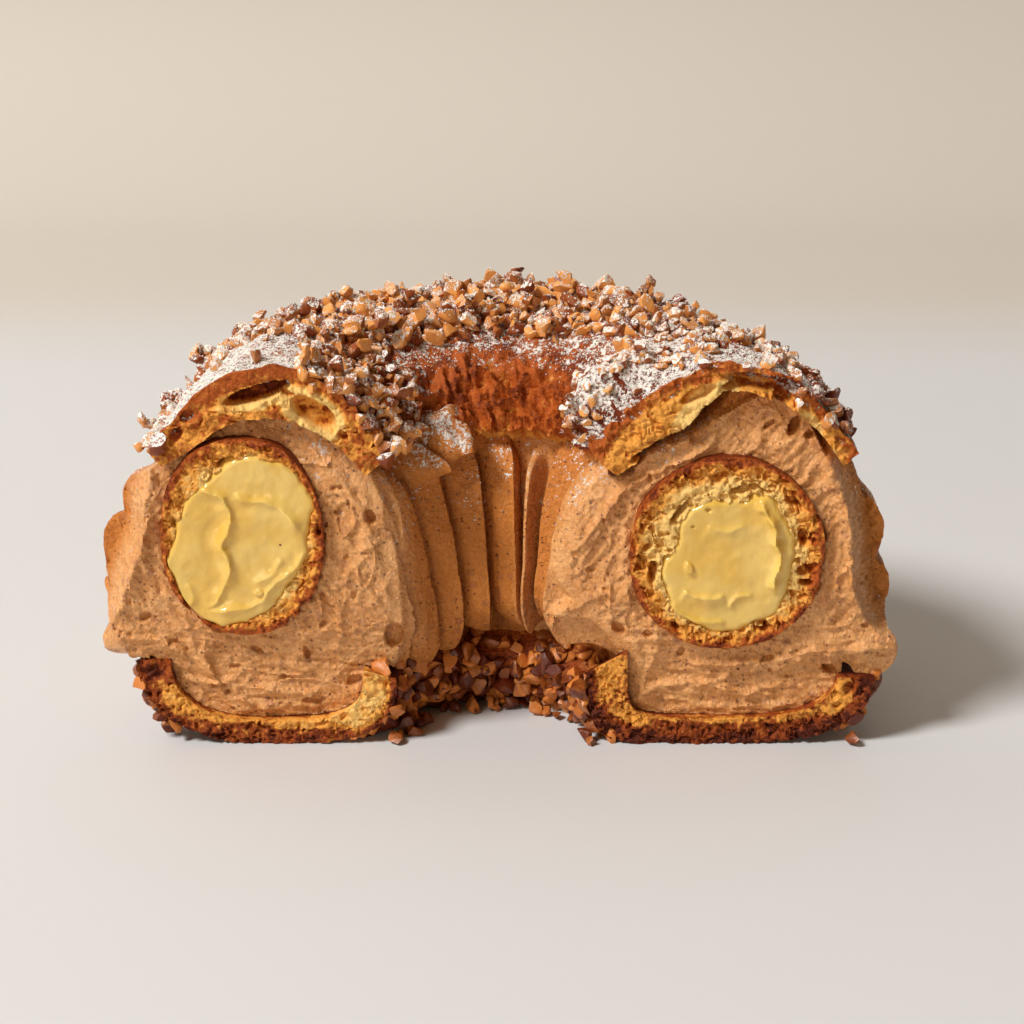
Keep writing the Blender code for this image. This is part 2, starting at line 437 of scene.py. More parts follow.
def to_path(x, z, path, closed=False):
    """Distance to a curved path of points, how far along it the nearest point is, and the signed side."""
    best = np.full(x.shape, 1e9)
    along, side = np.zeros(x.shape), np.zeros(x.shape)
    path = curved(path, closed)
    for i, (a, b) in enumerate(zip(path[:-1], path[1:])):
        run = b - a
        t = np.clip(((x - a[0]) * run[0] + (z - a[1]) * run[1]) / np.hypot(*run) ** 2, 0, 1)
        dx, dz = x - a[0] - t * run[0], z - a[1] - t * run[1]
        d = np.hypot(dx, dz)
        closer = d < best
        best = np.where(closer, d, best)
        along = np.where(closer, (i + t) / (len(path) - 1), along)
        side = np.where(closer, np.sign(run[0] * dz - run[1] * dx), side)
    return best, along, side


def smears(x, z, marks):
    """Raised drags of a spoon or knife: (height, width on the left of the path, width on the right, path)."""
    total = np.zeros(x.shape)
    flat = flat_points(x, z, 11)
    x, z = x + 0.45 * cloud(flat, 2.6, 21) + 0.16 * cloud(flat, 0.9, 22), z + 0.45 * cloud(flat, 2.6, 23)
    uneven = 1.0 + 0.45 * cloud(flat, 3.4, 24)
    for height, left, right, path in marks:
        d, along, side = to_path(x, z, path)
        width = np.where(side > 0, left, right) * 0.72 * uneven
        ends = step01(6 * along + 0.15) * step01(6 * (1 - along) + 0.15)
        total += height * uneven * np.exp(-((d / width) ** 1.15)) * ends
    return total


def ledges(x, z, marks):
    """Layers lapping over the next: (height, reach, path); the higher side is on the left of the path."""
    total = np.zeros(x.shape)
    flat = flat_points(x, z, 12)
    x, z = x + 0.5 * cloud(flat, 2.2, 26) + 0.15 * cloud(flat, 0.8, 27), z + 0.5 * cloud(flat, 2.2, 28)
    for height, reach, path in marks:
        d, along, side = to_path(x, z, path)
        ends = step01(5 * along) * step01(5 * (1 - along))
        total += height * step01((d * side + 0.3) / 0.55) * np.exp(-np.maximum(d * side, 0) / reach) * ends
    return total


def hollows(x, z, marks):
    """Pits: (x, z, half width, half height, tilt in degrees, depth)."""
    total = np.zeros(x.shape)
    for cx, cz, wide, high, tilt, depth in marks:
        c, s = math.cos(math.radians(tilt)), math.sin(math.radians(tilt))
        d = np.hypot(((x - cx) * c + (z - cz) * s) / wide, ((z - cz) * c - (x - cx) * s) / high)
        total = np.maximum(total, depth * climb(d, 1.15, -0.35))
    return total


def hollows_at_cuts(points, marks):
    """The same for points of the whole ring, from the marks of both cuts."""
    x, z = points[:, 0], points[:, 2]
    return np.where(x < 0, hollows(x, z, marks[LEFT]), hollows(x, z, marks[RIGHT]))


def flat_points(x, z, seed=0):
    return np.stack([x, np.full(x.shape, 3.0 * seed + 0.5), z], axis=-1)


def tube_share(x, z, side):
    """1 on the inner choux's outside, falling inwards."""
    s = section(end_turn(side))
    flat = flat_points(x, z, 4)
    lump = 0.5 * cloud(flat_points(x, z, 3), 7.0, 41)
    lump = lump + 0.55 * cloud(flat, 2.8, 43) + 0.35 * cloud(flat, 1.1, 44)
    across = np.abs(np.abs(x) - s.tube_r + lump) / s.tube_wide
    return rounded(across, np.abs(z - s.tube_z + lump) / s.tube_high, TUBE_SQUARE)


# Where the cut face of the cream ends: beyond these lines the cream falls away behind the cut.
OUTER_EDGE = {
    LEFT: [-61, 64, -64.5, 57, -66.2, 50, -66.8, 42, -69.2, 36, -71, 31, -73.8, 24, -75, 17, -75, 8],
    RIGHT: [61, 57, 63.8, 51, 65.8, 43, 66.2, 36, 68, 28, 72, 22, 77, 19.6, 78, 14, 78, 8],
}
INNER_EDGE = {
    LEFT: [-26.5, 58, -23, 51, -21, 45, -19.6, 38, -19, 30, -18.8, 24, -20, 16, -24, 10],
    RIGHT: [21, 55, 16, 52, 12.3, 46, 10.4, 40, 11.2, 33, 14, 29.2, 10.6, 26, 17.5, 25.2, 22, 20, 24.2, 15,
        25, 6],
}
CREAM_SMEARS = {
    LEFT: [
        (1.1, 1.5, 3.4, [-64.6, 57, -65.4, 50, -66.4, 42, -68.8, 36.2, -70.4, 31, -73.2, 24.5]),
        (0.9, 0.9, 2.2, [-59.3, 23.2, -57.3, 18.6, -54.3, 13.6, -48.3, 11.2, -38.4, 10.1, -31, 7.6]),
        (0.6, 0.7, 1.6, [-54, 9.6, -48, 8.2, -42, 7.4, -36, 7.6]),
        (0.7, 1, 2, [-72, 21.5, -66.5, 21.8, -62, 20.6, -59.4, 17.5]),
        (0.5, 0.8, 1.5, [-63.6, 33, -62, 27, -58, 23]),
        (0.6, 1, 2.6, [-31.5, 58.5, -28, 52, -24.5, 44, -22.5, 36, -21, 27]),
        (0.5, 0.8, 2, [-34, 61, -31, 54.5, -28, 50]),
        (0.5, 0.6, 1.2, [-46, 61.8, -41, 62.4, -36, 60, -32, 56]),
        (0.4, 0.6, 1.4, [-33, 33, -30, 27, -31, 20]),
        (0.4, 0.5, 1.2, [-45, 20.5, -42, 17.5, -43, 14]),
        (0.35, 0.5, 1, [-38, 24, -36.5, 19.5, -38, 15.5]),
        (0.5, 0.7, 1.4, [-56, 64.6, -51, 65.4, -46, 64.4]),
    ],
    RIGHT: [
        (1.3, 1, 0.75, [40.3, 66, 39.2, 60.6, 35, 57.8, 29.4, 55.4, 22.7, 51.2, 18.6, 45.7, 15.1, 40.8,
            13.6, 38.2]),
        (1.2, 1, 2.6, [34, 16.2, 44, 16.5, 52.3, 17, 58.5, 19, 66, 19.7, 75.5, 19.7]),
        (0.9, 1, 2.4, [23.7, 6.8, 30.4, 11.4, 40.1, 12.2, 44.4, 15.4]),
        (0.9, 0.8, 1.6, [38, 12.3, 46.2, 10.4, 53.4, 9.3]),
        (0.8, 1.2, 1.6, [29.4, 26, 29.6, 20, 28, 14, 26.6, 9]),
        (0.7, 1, 2.2, [25.4, 22.5, 27, 17, 25.6, 11]),
        (1, 1.2, 1.5, [24.6, 29, 23.4, 32, 23, 33.6]),
        (1.1, 2.4, 1.3, [59.5, 57, 62.4, 52, 65, 46, 65.6, 37, 66.6, 31, 68.6, 26]),
        (0.9, 0.9, 2, [46.2, 62.4, 50.8, 59.6, 54, 61.4, 56.4, 65.6]),
        (1.1, 1.4, 1.8, [42.6, 65.4, 45.4, 69, 49.4, 71.6, 53.6, 71.4]),
        (0.9, 1, 1.4, [44.6, 64, 48.2, 66.8, 51.6, 66, 52.6, 63.2]),
        (0.6, 0.9, 1.8, [64.6, 31, 60, 28, 61, 24.5]),
        (0.6, 0.7, 1.6, [35, 8, 42, 7, 50, 7.2, 57, 7.6]),
        (0.6, 0.7, 1.4, [20.6, 31.5, 17, 29.5, 12, 26.6]),
        (0.5, 0.8, 1.8, [64, 44, 62.6, 36, 60, 31, 56, 26]),
        (0.5, 0.7, 1.6, [36, 22.8, 42, 20.6, 50, 20.8, 57, 23.4]),
    ],
}
CREAM_LEDGES = {
    LEFT: [
        (0.8, 5, [-24.4, 12, -32, 15.5, -42, 16.5, -52, 15.2, -60, 18.6, -66, 22.4]),
        (0.7, 4, [-22, 30, -27, 33, -31.4, 38, -33, 44]),
        (0.6, 3.5, [-27, 52, -32, 55.6, -34.6, 59, -41, 62, -50, 62.8]),
        (0.7, 4, [-61, 26, -64.4, 31, -65.6, 38, -66, 47, -63.6, 54]),
    ],
    RIGHT: [
        (0.5, 9, [63.6, 55, 63, 48, 63.8, 41, 62.8, 34, 64.4, 28]),
        (0.8, 7, [26, 13, 34, 14.4, 44, 14, 54, 15, 61, 17.4, 69, 18.4]),
        (0.7, 3, [28.6, 6.8, 36, 9.2, 45, 9.4, 54, 10.6]),
        (0.8, 4, [20.4, 26.6, 24, 29, 25.4, 33, 24, 37]),
        (0.7, 3, [46.6, 61, 43, 64.6, 42.2, 68, 44.4, 71.4]),
        (0.6, 3, [57.4, 58.4, 53, 60.4, 50.6, 64.6, 52, 68.6]),
    ],
}
CREAM_HOLLOWS = {
    LEFT: [(-24.4, 46, 0.9, 1.5, 20, 1.8), (-30.4, 47, 0.7, 0.4, -10, 0.9),
        (-36.9, 18.4, 0.6, 1.4, 10, 1.3), (-46.4, 18.8, 1.3, 0.5, -30, 1), (-20.2, 21.6, 1.8, 2.6, 0, 1.8),
        (-35.8, 8.2, 2.2, 0.9, 5, 1), (-67.2, 26.2, 1.2, 0.8, 30, 1), (-28, 12, 1.6, 0.9, 25, 1.2),
        (-50.8, 15.2, 1.2, 0.5, 0, 0.8), (-41.5, 13.2, 0.7, 0.5, 0, 0.9), (-33.6, 24.6, 0.9, 0.5, 60, 0.8),
        (-62.2, 21, 0.9, 0.6, 10, 0.9), (-54, 20, 0.6, 0.9, 0, 0.7), (-27.6, 30.4, 0.5, 0.8, 0, 0.6)],
    RIGHT: [(51, 17.2, 1.3, 0.6, 10, 1.4), (41.2, 71.8, 1, 0.6, 0, 1.6), (28, 22.6, 0.9, 0.8, 0, 1),
        (22.4, 23.6, 1.6, 0.9, -50, 1.6), (62.8, 14.8, 1.6, 0.9, -35, 2), (60.6, 42.6, 0.5, 1.2, 10, 0.9),
        (34.4, 18.6, 0.6, 1.1, -20, 0.9), (45.5, 24.4, 0.8, 0.5, 0, 0.8), (55.4, 13.2, 0.9, 0.4, 0, 0.7),
        (17, 35.6, 0.8, 0.6, 0, 0.8), (36.6, 61.2, 1.5, 0.8, 30, 1.2), (69.4, 24, 0.8, 0.5, 0, 0.7),
        (52.2, 69.4, 1.7, 1.2, -20, 3), (54.6, 63.2, 1, 1.9, -25, 3), (57.4, 61.6, 0.9, 0.8, 0, 2),
        (50, 63.6, 1.3, 0.5, 30, 1.2), (46, 70.4, 1, 0.4, 10, 1)],
}
CUSTARD_SMEARS = {
    LEFT: [
        (0.95, 0.55, 1.7, [-57.8, 53, -54.6, 52.2, -51.8, 50.5, -50.3, 47.3, -50.9, 44.2, -52, 41.4, -50.9,
            37.7, -51.3, 34, -53.3, 30.3, -55.6, 28.2]),
        (0.8, 0.8, 1.6, [-55.6, 27.8, -50.3, 28.4, -45.8, 29.6, -42.3, 33.6, -38.6, 36.6, -36.2, 40.4]),
        (0.7, 1.3, 0.9, [-49.3, 51.6, -46.3, 49.6, -43.3, 49.9, -39.6, 47.3, -37.2, 43.5]),
        (0.4, 0.9, 1.4, [-46.5, 33.5, -43, 35.5, -40.6, 39]),
        (0.4, 0.7, 0.9, [-58.6, 33.4, -57.8, 31, -58.4, 28.6]),
    ],
    RIGHT: [
        (1.7, 0.7, 0.9, [48.8, 50.4, 49.4, 47.6, 51.2, 45, 51.4, 41.6, 52.6, 38.4, 51.4, 34.6, 51.8, 31]),
        (0.9, 0.5, 1.5, [34.4, 31.9, 36.4, 31.1, 39.6, 30.9, 42.4, 31]),
        (0.6, 0.8, 1.2, [31.4, 29.6, 34, 27, 38.6, 25.8, 43, 25.6]),
        (0.6, 0.7, 0.9, [42.6, 28.8, 44.6, 30.6, 47.6, 31.4]),
        (0.4, 0.8, 1.4, [38.4, 45, 41.6, 44, 46, 45.2]),
    ],
}
# Small dents and, where the strength is negative, small lumps in the custard: (strength, marks).
CUSTARD_SPOTS = {
    LEFT: [(-0.6, [(-45.4, 31.8, 0.9, 0.7, 10, 1), (-56.4, 54.4, 2, 1, 30, 0.8)])],
    RIGHT: [(0.7, [(38.8, 48.2, 0.5, 0.4, 0, 1), (36, 44.8, 0.3, 0.3, 0, 0.8)]),
            (-0.6, [(35.4, 36.6, 0.8, 1.3, 20, 1)])],
}
# The thick crumb under the lid's crust at the right cut, where no cream shows.
LID_UNDER = [21, 54, 23.6, 54.4, 26.6, 57.6, 30.6, 59.8, 34.6, 61.4, 38, 63, 39.6, 65.6, 41.6, 67.4, 42.6,
    70.4, 45, 72.4, 47, 75, 40, 78, 28, 70, 20, 60]
LID_CAVITIES = {
    LEFT: [(-44.6, 70.6, 6.2, 1.5, 17, 4.4), (-34.2, 67, 4.8, 2.2, -38, 3), (-39, 70.6, 1.4, 0.7, -20, 3),
        (-29, 62.6, 1.1, 0.8, -50, 1.8), (-57.6, 66.4, 1.5, 1, 40, 1.2), (-60, 62.4, 1.8, 1, 60, 1.5),
        (-31, 64.4, 0.8, 1.6, 20, 1.6)],
    RIGHT: [(43.6, 72.2, 2.8, 0.75, 5, 5), (51.9, 69.8, 1.9, 1.35, -20, 5),
        (54.3, 62.4, 1.2, 2.1, -25, 4.5), (57.6, 61.6, 0.9, 0.8, 0, 3.5), (30.6, 60.6, 6.6, 1.25, 26, 5),
        (38.6, 67.4, 1.8, 1.1, 20, 3), (59, 58.8, 0.7, 1, 0, 2), (36.4, 70.6, 3.4, 1.2, 28, 2.4),
        (38, 65.8, 1.3, 0.9, 30, 4), (48.6, 72.6, 7.5, 1.5, -9, 3.2)],
}


def on_face(points, seed):
    """Which cut a blade's points belong to, their x and z, and points for unevenness."""
    x, z = points[:, 0], points[:, 2]
    return LEFT if x.mean() < 0 else RIGHT, x, z, flat_points(x, z, seed)


def falls_away(x, z, side):
    """How far the cream falls back behind the cut beyond the edges of its cut face."""
    depth = np.zeros(x.shape)
    # the paths run from top to bottom, so a point to the right of one is on its positive side
    for path, sense, steep, most in ((OUTER_EDGE[side], side, 1.3, 6.0), (INNER_EDGE[side], -side, 0.8, 1.2)):
        d, _, way = to_path(x, z, path)
        beyond = np.maximum(d * way * sense, 0)
        depth += np.minimum(steep * beyond, most) + 0.9 * step01(beyond / 1.2)
    return depth


def inward(x, z, outline):
    """Distance inwards from a closed outline, negative outside it."""
    d, _, _ = to_path(x, z, outline, True)
    ring = curved(outline, True)
    inside = np.zeros(x.shape, dtype=bool)
    for (ax, az), (bx, bz) in zip(ring[:-1], ring[1:]):
        if az != bz:
            inside ^= ((az > z) != (bz > z)) & (x < (bx - ax) * (z - az) / (bz - az) + ax)
    return np.where(inside, d, -d)


def round_the_tube(x, z, side):
    """Points for noise that is drawn out along the way the cream was piped round the inner ring."""
    s = section(end_turn(side))
    flat = flat_points(x, z, 2)
    dx, dz = x - side * s.tube_r + 2.0 * cloud(flat, 11.0, 31), z - s.tube_z + 2.0 * cloud(flat, 11.0, 33)
    radius = np.hypot(dx, dz) + 1e-6
    return np.stack([dx / radius * 24, radius * 2.1, dz / radius * 24], axis=-1)


def cream_face(points):
    side, x, z, flat = on_face(points, 1)
    at_right, drawn = side == RIGHT, round_the_tube(x, z, side)
    wild = step01(0.5 + 1.5 * cloud(flat, 13.0, 9))
    # the face is smoother towards the hole of the ring
    d, _, way = to_path(x, z, INNER_EDGE[side])
    calm = 0.2 + 0.8 * step01(np.maximum(d * way * side, 0) / 6.0)
    warped = flat + 1.4 * swirl(flat, 4.0, 14, 15)
    # short strokes left by the knife, sloping down to the right on the left lobe and to the left on the right
    tilt = np.where(z < 24, 0.1, 2.25 if at_right else 0.95)
    along, across = x * np.cos(tilt) - z * np.sin(tilt), x * np.sin(tilt) + z * np.cos(tilt)
    strokes = np.stack([along * 0.30, flat[:, 1], across + 0.7 * cloud(flat, 5.0, 18)], axis=-1)
    busy = step01(0.5 + 1.6 * cloud(flat, 6.5, 20))
    if at_right:
        busy *= (1 - 0.8 * climb(z, 54, 6)) * (1 - 0.65 * climb(x, 34, -8) * climb(z, 34, 6))
    depth = clouds(flat, (0.30, 13.0, 3)) + 0.12 * cloud(warped, 5.0, 4)
    depth -= (0.20 + 0.40 * wild) * crests(drawn, 8.0, 5, 1) ** 2.8
    depth -= 0.50 * wild * crests(warped, 6.5, 6, 1) ** 4.5
    depth -= (0.16 + 0.42 * busy) * crests(strokes, 2.7, 12, 1) ** 2.4
    depth += 0.34 * cloud(strokes, 1.25, 7) + 0.22 * cloud(strokes * (1, 1, 2.2), 1.4, 10)
    depth += 0.15 * cloud(warped, 1.1, 8)
    near, _, which = foam(warped, 2.4, 11)
    depth += 0.9 * climb(near, 0.26, -0.16) * (which > 0.86) * wild
    near, _, which = foam(flat, 1.05, 17)
    depth += 0.35 * climb(near, 0.26, -0.12) * (which > 0.80)
    depth = 0.9 + depth * calm
    # soft cream bulges: it turns up above the middle and down below it, and rolls back at the hole
    hole = side * (11.0 if at_right else 19.0)
    depth += 2.8 * ((z - 35) / 28) ** 2 + 1.3 * np.exp(-np.abs(x - hole) / 8.0)
    depth -= 1.05 * smears(x, z, CREAM_SMEARS[side]) + 0.5 * ledges(x, z, CREAM_LEDGES[side])
    depth += 1.2 * hollows(x, z, CREAM_HOLLOWS[side])
    depth += falls_away(x, z, side) + 0.09 * np.clip(23 - z, 0, 7) - 0.14 * np.clip(14 - z, 0, 9)
    if at_right:
        depth += 0.10 * np.maximum(x - 55.0, 0) * climb(z, 20, 6)
        depth += 6.0 * step01((inward(x, z, LID_UNDER) + 0.5 * cloud(flat, 2.0, 19) + 0.3) / 0.6)
    share = tube_share(x, z, side)
    reach = 0.965
    if not at_right:
        # over part of the tube the knife has drawn cream across the crust, up to the custard
        reach = reach - 0.13 * hump(z, 37.6, 5.5) * (x < -50.0)
    depth += 7.0 * step01((reach - share) / 0.06)
    # the cream swells a little against the crust
    return depth - 0.3 * hump(share, 1.05, 0.07)


def crumb(x, z, seed, coarse=1.8, deep=1.6):
    """The torn cells of baked choux: thin walls left standing between holes of several sizes."""
    flat = flat_points(x, z, seed)
    warped = flat + 1.3 * swirl(flat, 1.9, seed + 1, seed + 2)
    depth = np.zeros(x.shape)
    for size, share in ((coarse, deep), (coarse * 0.5, deep * 0.5)):
        near, second, which = foam(warped, size, seed + int(size * 10))
        depth += share * step01((second - near) / 0.42) * np.maximum(which * 1.5 - 0.45, 0.0)
    return depth + 0.22 * cloud(flat, 0.7, seed + 3, 2)


# Outlines of the custard on the cut faces, and holes in the inner ring's wall.
CUSTARD = {
    LEFT: [-53.8, 54.8, -50.3, 58, -47.3, 58.9, -43.3, 58.6, -39, 56.8, -36.3, 53.8, -34.3, 49.9, -34.5,
        46.7, -35.6, 42.5, -35.6, 39.3, -37.8, 35.2, -41, 30.2, -44.3, 26.8, -48.3, 25.2, -52.3, 24.2, -55,
        24.8, -58.3, 26.4, -60.3, 29.8, -61.8, 34, -63, 37.7, -61.3, 42.5, -60.3, 46.7, -59, 49.9, -56.8,
        52.1],
    RIGHT: [36, 49, 39.1, 50.2, 45.2, 50.2, 48.6, 51.4, 51, 51, 52.4, 48.4, 54.4, 44.6, 55.6, 41, 55.2,
        37.4, 54.9, 34.9, 53.6, 29.8, 52.3, 26.9, 48.3, 25.2, 44.2, 23.3, 40.1, 23.3, 36, 25.1, 32.9, 27.6,
        31.2, 31.1, 29.9, 34.9, 29.9, 38.1, 32.4, 40.8, 33.2, 44.6, 34.6, 47.6],
}
TUBE_HOLES = {
    LEFT: [(-50.9, 57.4, 1.9, 0.8, 28, 3), (-36.8, 28.6, 1.3, 0.9, 35, 3), (-39.2, 26.2, 1, 0.6, 20, 2),
        (-33.9, 44.2, 0.5, 1.3, 5, 1.6), (-43, 60, 0.9, 0.5, -20, 1.2), (-60.9, 45.6, 0.6, 1.2, 10, 1.6)],
    RIGHT: [(56.6, 42.2, 0.8, 1.5, 20, 3), (28.6, 35.6, 0.8, 2.2, -6, 3.4), (33.4, 47.6, 0.6, 2.4, -38, 3),
        (57.2, 36, 1.5, 1.1, 10, 2.6), (57.4, 33.6, 1.2, 0.7, 0, 3), (45.4, 52.2, 2.8, 0.8, 14, 2.6),
        (54.4, 49.8, 1.5, 0.8, -30, 2.2), (27.4, 40.6, 0.9, 0.6, 40, 1.6), (50.2, 24.4, 1.2, 0.6, 20, 2),
        (33, 24.8, 1, 0.6, -40, 1.8), (41, 54.8, 1.6, 0.6, 10, 1.8), (59, 46.4, 0.6, 0.9, 0, 1.6)],
}
BASE_HOLES = {
    LEFT: [(-66.4, 16, 3.2, 2.6, -25, 1.2), (-32, 9, 1.6, 0.8, 40, 2), (-28.6, 12.6, 1.8, 0.7, 55, 1.8),
        (-36.4, 5.4, 1.8, 0.6, 5, 1.4)],
    RIGHT: [(63, 13, 1.4, 1, -30, 1.6), (66.6, 11.6, 1, 1.4, 0, 0.9)],
}


# Where the cut crumb is pale: (x, z, half width, half height, tilt in degrees, how much deeper it counts).
PALE_LID = {
    LEFT: [(-42.5, 71.4, 9.5, 3.2, 14, 3.4), (-34.5, 67, 7, 4.2, -38, 3.4), (-46, 68.8, 7, 1.6, 10, 2.4)],
    RIGHT: [(38, 68.4, 7.5, 3, 40, 3.4), (30, 60, 5, 1.6, 35, 2), (47, 73.4, 6, 1.4, -4, 2.2),
        (56.4, 62.6, 3.4, 5, 12, 2.6), (61, 57, 2, 3.4, 12, 1.8)],
}
PALE_BASE = {
    LEFT: [(-27, 9.4, 7.5, 6, 30, 2.6), (-38, 4.4, 7, 1.4, 2, 1.6), (-62, 9.6, 2.6, 3.6, 30, 1),
        (-46, 6.6, 16, 2.2, 0, 1.1)],
    RIGHT: [(19.6, 15, 3.6, 7.5, -6, 1.7), (24.5, 6.4, 4, 2, -30, 1.2), (44, 6.4, 19, 2, 0, 1.2),
        (63, 11, 4.6, 5, 20, 1.2), (22.6, 14, 2, 8, 0, 1)],
}


def tube_face(points):
    side, x, z, flat = on_face(points, 5)
    skin = (1 - tube_share(x, z, side)) * 16
    cells_wide, cells_deep = (1.35, 1.0) if side == LEFT else (1.7, 1.7)
    depth = crumb(x, z, 60, cells_wide, cells_deep) * climb(skin, 0.3, 0.8)
    depth += 0.35 * cloud(flat, 3.0, 61) - 0.35 - 0.35 * hump(skin, 0.9, 0.9)
    depth += 0.45 * cloud(flat, 0.75, 63, 2) * climb(skin, 2.2, -0.6)
    depth += hollows(x, z, TUBE_HOLES[side])
    edge = inward(x, z, CUSTARD[side]) + 0.5 * cloud(flat, 1.6, 67)
    return depth + 6.0 * climb(edge, 0.5, 0.7)


def custard_face(points):
    side, x, z, flat = on_face(points, 7)
    edge = inward(x, z, CUSTARD[side]) + 0.55 * cloud(flat, 2.6, 79, 2)
    warped = flat + 2.2 * swirl(flat, 7.0, 70, 76)
    depth = -0.35 + 0.40 * cloud(warped, 11.0, 71) + 0.16 * cloud(warped, 4.5, 72)
    depth += 0.08 * cloud(flat, 1.6, 73)
    depth += 1.3 * climb(edge, 1.5, -1.6) ** 2 + 4.0 * climb(edge, 0.15, -0.9)
    depth -= smears(x, z, CUSTARD_SMEARS[side])
    if side == LEFT:
        # a trough runs beside the long fold
        d, along, way = to_path(x, z, CUSTARD_SMEARS[LEFT][0][3])
        depth += 0.6 * np.exp(-(((d - 2.2) / 2.0) ** 2)) * (way < 0) * hump(along, 0.45, 0.6)
    for strength, marks in CUSTARD_SPOTS[side]:
        depth += strength * hollows(x, z, marks)
    return depth


def lid_depth(turn, r, z):
    """Millimetres inwards from the lid's baked outside, and degrees round the section."""
    s = section(turn)
    half, belly, square = on_side(s, r > s.middle, "cream", "belly", "shoulder")
    across = np.abs(r - s.middle) / (half + s.lid_crown * 0.75)
    share = rounded(across, np.maximum(z - belly, 0) / (s.top - belly + s.lid_crown), square)
    degrees = np.degrees(np.arctan2(z - s.belly_out, r - s.middle))
    return (1 - share) * 30 - slump(turn, degrees - 5), degrees


def lid_face(points):
    side, x, z, flat = on_face(points, 8)
    skin, _ = lid_depth(end_turn(side), np.abs(x), z)
    depth = crumb(x, z, 80, 1.5, 0.75) * climb(skin, 0.6, 1.0) + 0.4 * cloud(flat, 4.0, 83)
    depth += 0.35 * cloud(flat, 0.8, 85, 2) * climb(skin, 2.4, -1.0)
    depth -= 0.5 * crests(flat, 5.0, 87) * climb(skin, 1.5, 1.0)
    if side == RIGHT:
        # big thin-walled bubbles where the crumb meets the cream
        near, second, which = foam(flat + 1.2 * cloud(flat, 3.0, 88)[:, None], 2.4, 89)
        bubbles = step01((second - near) / 0.4) * (0.4 + 0.6 * which) * climb(z, 57, 3)
        depth += 0.9 * bubbles * climb(inward(x, z, LID_UNDER), 3.4, -1.5)
    return depth + hollows(x, z, LID_CAVITIES[side])


def base_face(points):
    side, x, z, flat = on_face(points, 9)
    depth = crumb(x, z, 90, 1.2, 0.8) + 0.5 * cloud(flat, 4.0, 93) + 0.4 * cloud(flat, 0.9, 95, 2)
    return depth + hollows(x, z, BASE_HOLES[side]) + 0.5


# ---------------------------------------------------------------- shapes of the layers

# Piped folds on the inner wall: crests (turn, height in mm). Up to the fin they lean towards the back from
# the left, past it from the right.
LEFT_FOLDS = [(-0.10, 5.4), (0.03, 5.4), (0.150, 5.8), (0.280, 6.6), (0.420, 6.2), (0.545, 5.4)]
FIN = 0.612
RIGHT_FOLDS = [(0.675, 3.2), (0.760, 4.6), (0.865, 5.2), (0.98, 4.6), (1.10, 4.0)]
# Tips of cream drawn out on the outside: (turn, height above the floor, how far they stand out).
DRAG_TIPS = [(0.022, 32.4, 3.6), (0.018, 21.6, 3.8), (0.985, 20.0, 4.4), (0.965, 47.0, 1.6)]


def inner_folds(turn, z):
    """Height of the folds on the inner wall, and how far each lip is drawn sideways."""
    lean = (0.030 + 0.045 * climb(turn, 0.38, -0.25)) * (z - 36) / 25 - 0.022 * climb(z, 26, -14)
    height, lip = np.zeros(turn.shape), np.zeros(turn.shape)
    u = turn + lean
    for (a, _), (b, tall) in zip(LEFT_FOLDS[:-1], LEFT_FOLDS[1:]):
        t = (u - a) / (b - a)
        inside = (t >= 0) & (t < 1)
        height = np.where(inside, tall * (1 - (1 - np.clip(t, 0, 1)) ** 1.8) * climb(t, 1, -0.10), height)
        lip = np.where(inside, 0.030 * climb(t, 0.5, 0.4), lip)
    v = turn - 0.6 * lean
    for (a, tall), (b, _) in zip(RIGHT_FOLDS[:-1], RIGHT_FOLDS[1:]):
        t = (v - a) / (b - a)
        inside = (t >= 0) & (t < 1)
        height = np.where(inside, tall * (1 - np.clip(t, 0, 1) ** 1.8) * step01(t / 0.10), height)
        lip = np.where(inside, -0.022 * climb(t, 0.5, -0.4), lip)
    fin = np.abs(turn - FIN + 0.004 * (z - 36) / 20)
    under_lid = climb(z, 56, -7)
    return np.maximum(height, 6.0 * step01(1.25 - fin / 0.024) * under_lid), lip


def outer_folds(turn, z, points):
    """Slanting folds round the outside, each lapping over the one below."""
    phase = 11.5 * turn + 0.066 * (z - 20) + 0.25 * cloud(points, 22.0, 201)
    which = np.floor(phase)
    t = phase - which
    cell = np.stack([which, which * 0, which * 0], axis=-1).astype(np.int64)
    tall = (3.2 + 1.8 * lattice(cell, 7)) * (0.6 + 0.4 * step01(turn / 0.09))
    rise = tall * np.sin(math.pi * t**1.3) ** 0.55
    return rise, 0.007 * climb(t, 0.5, 0.4)


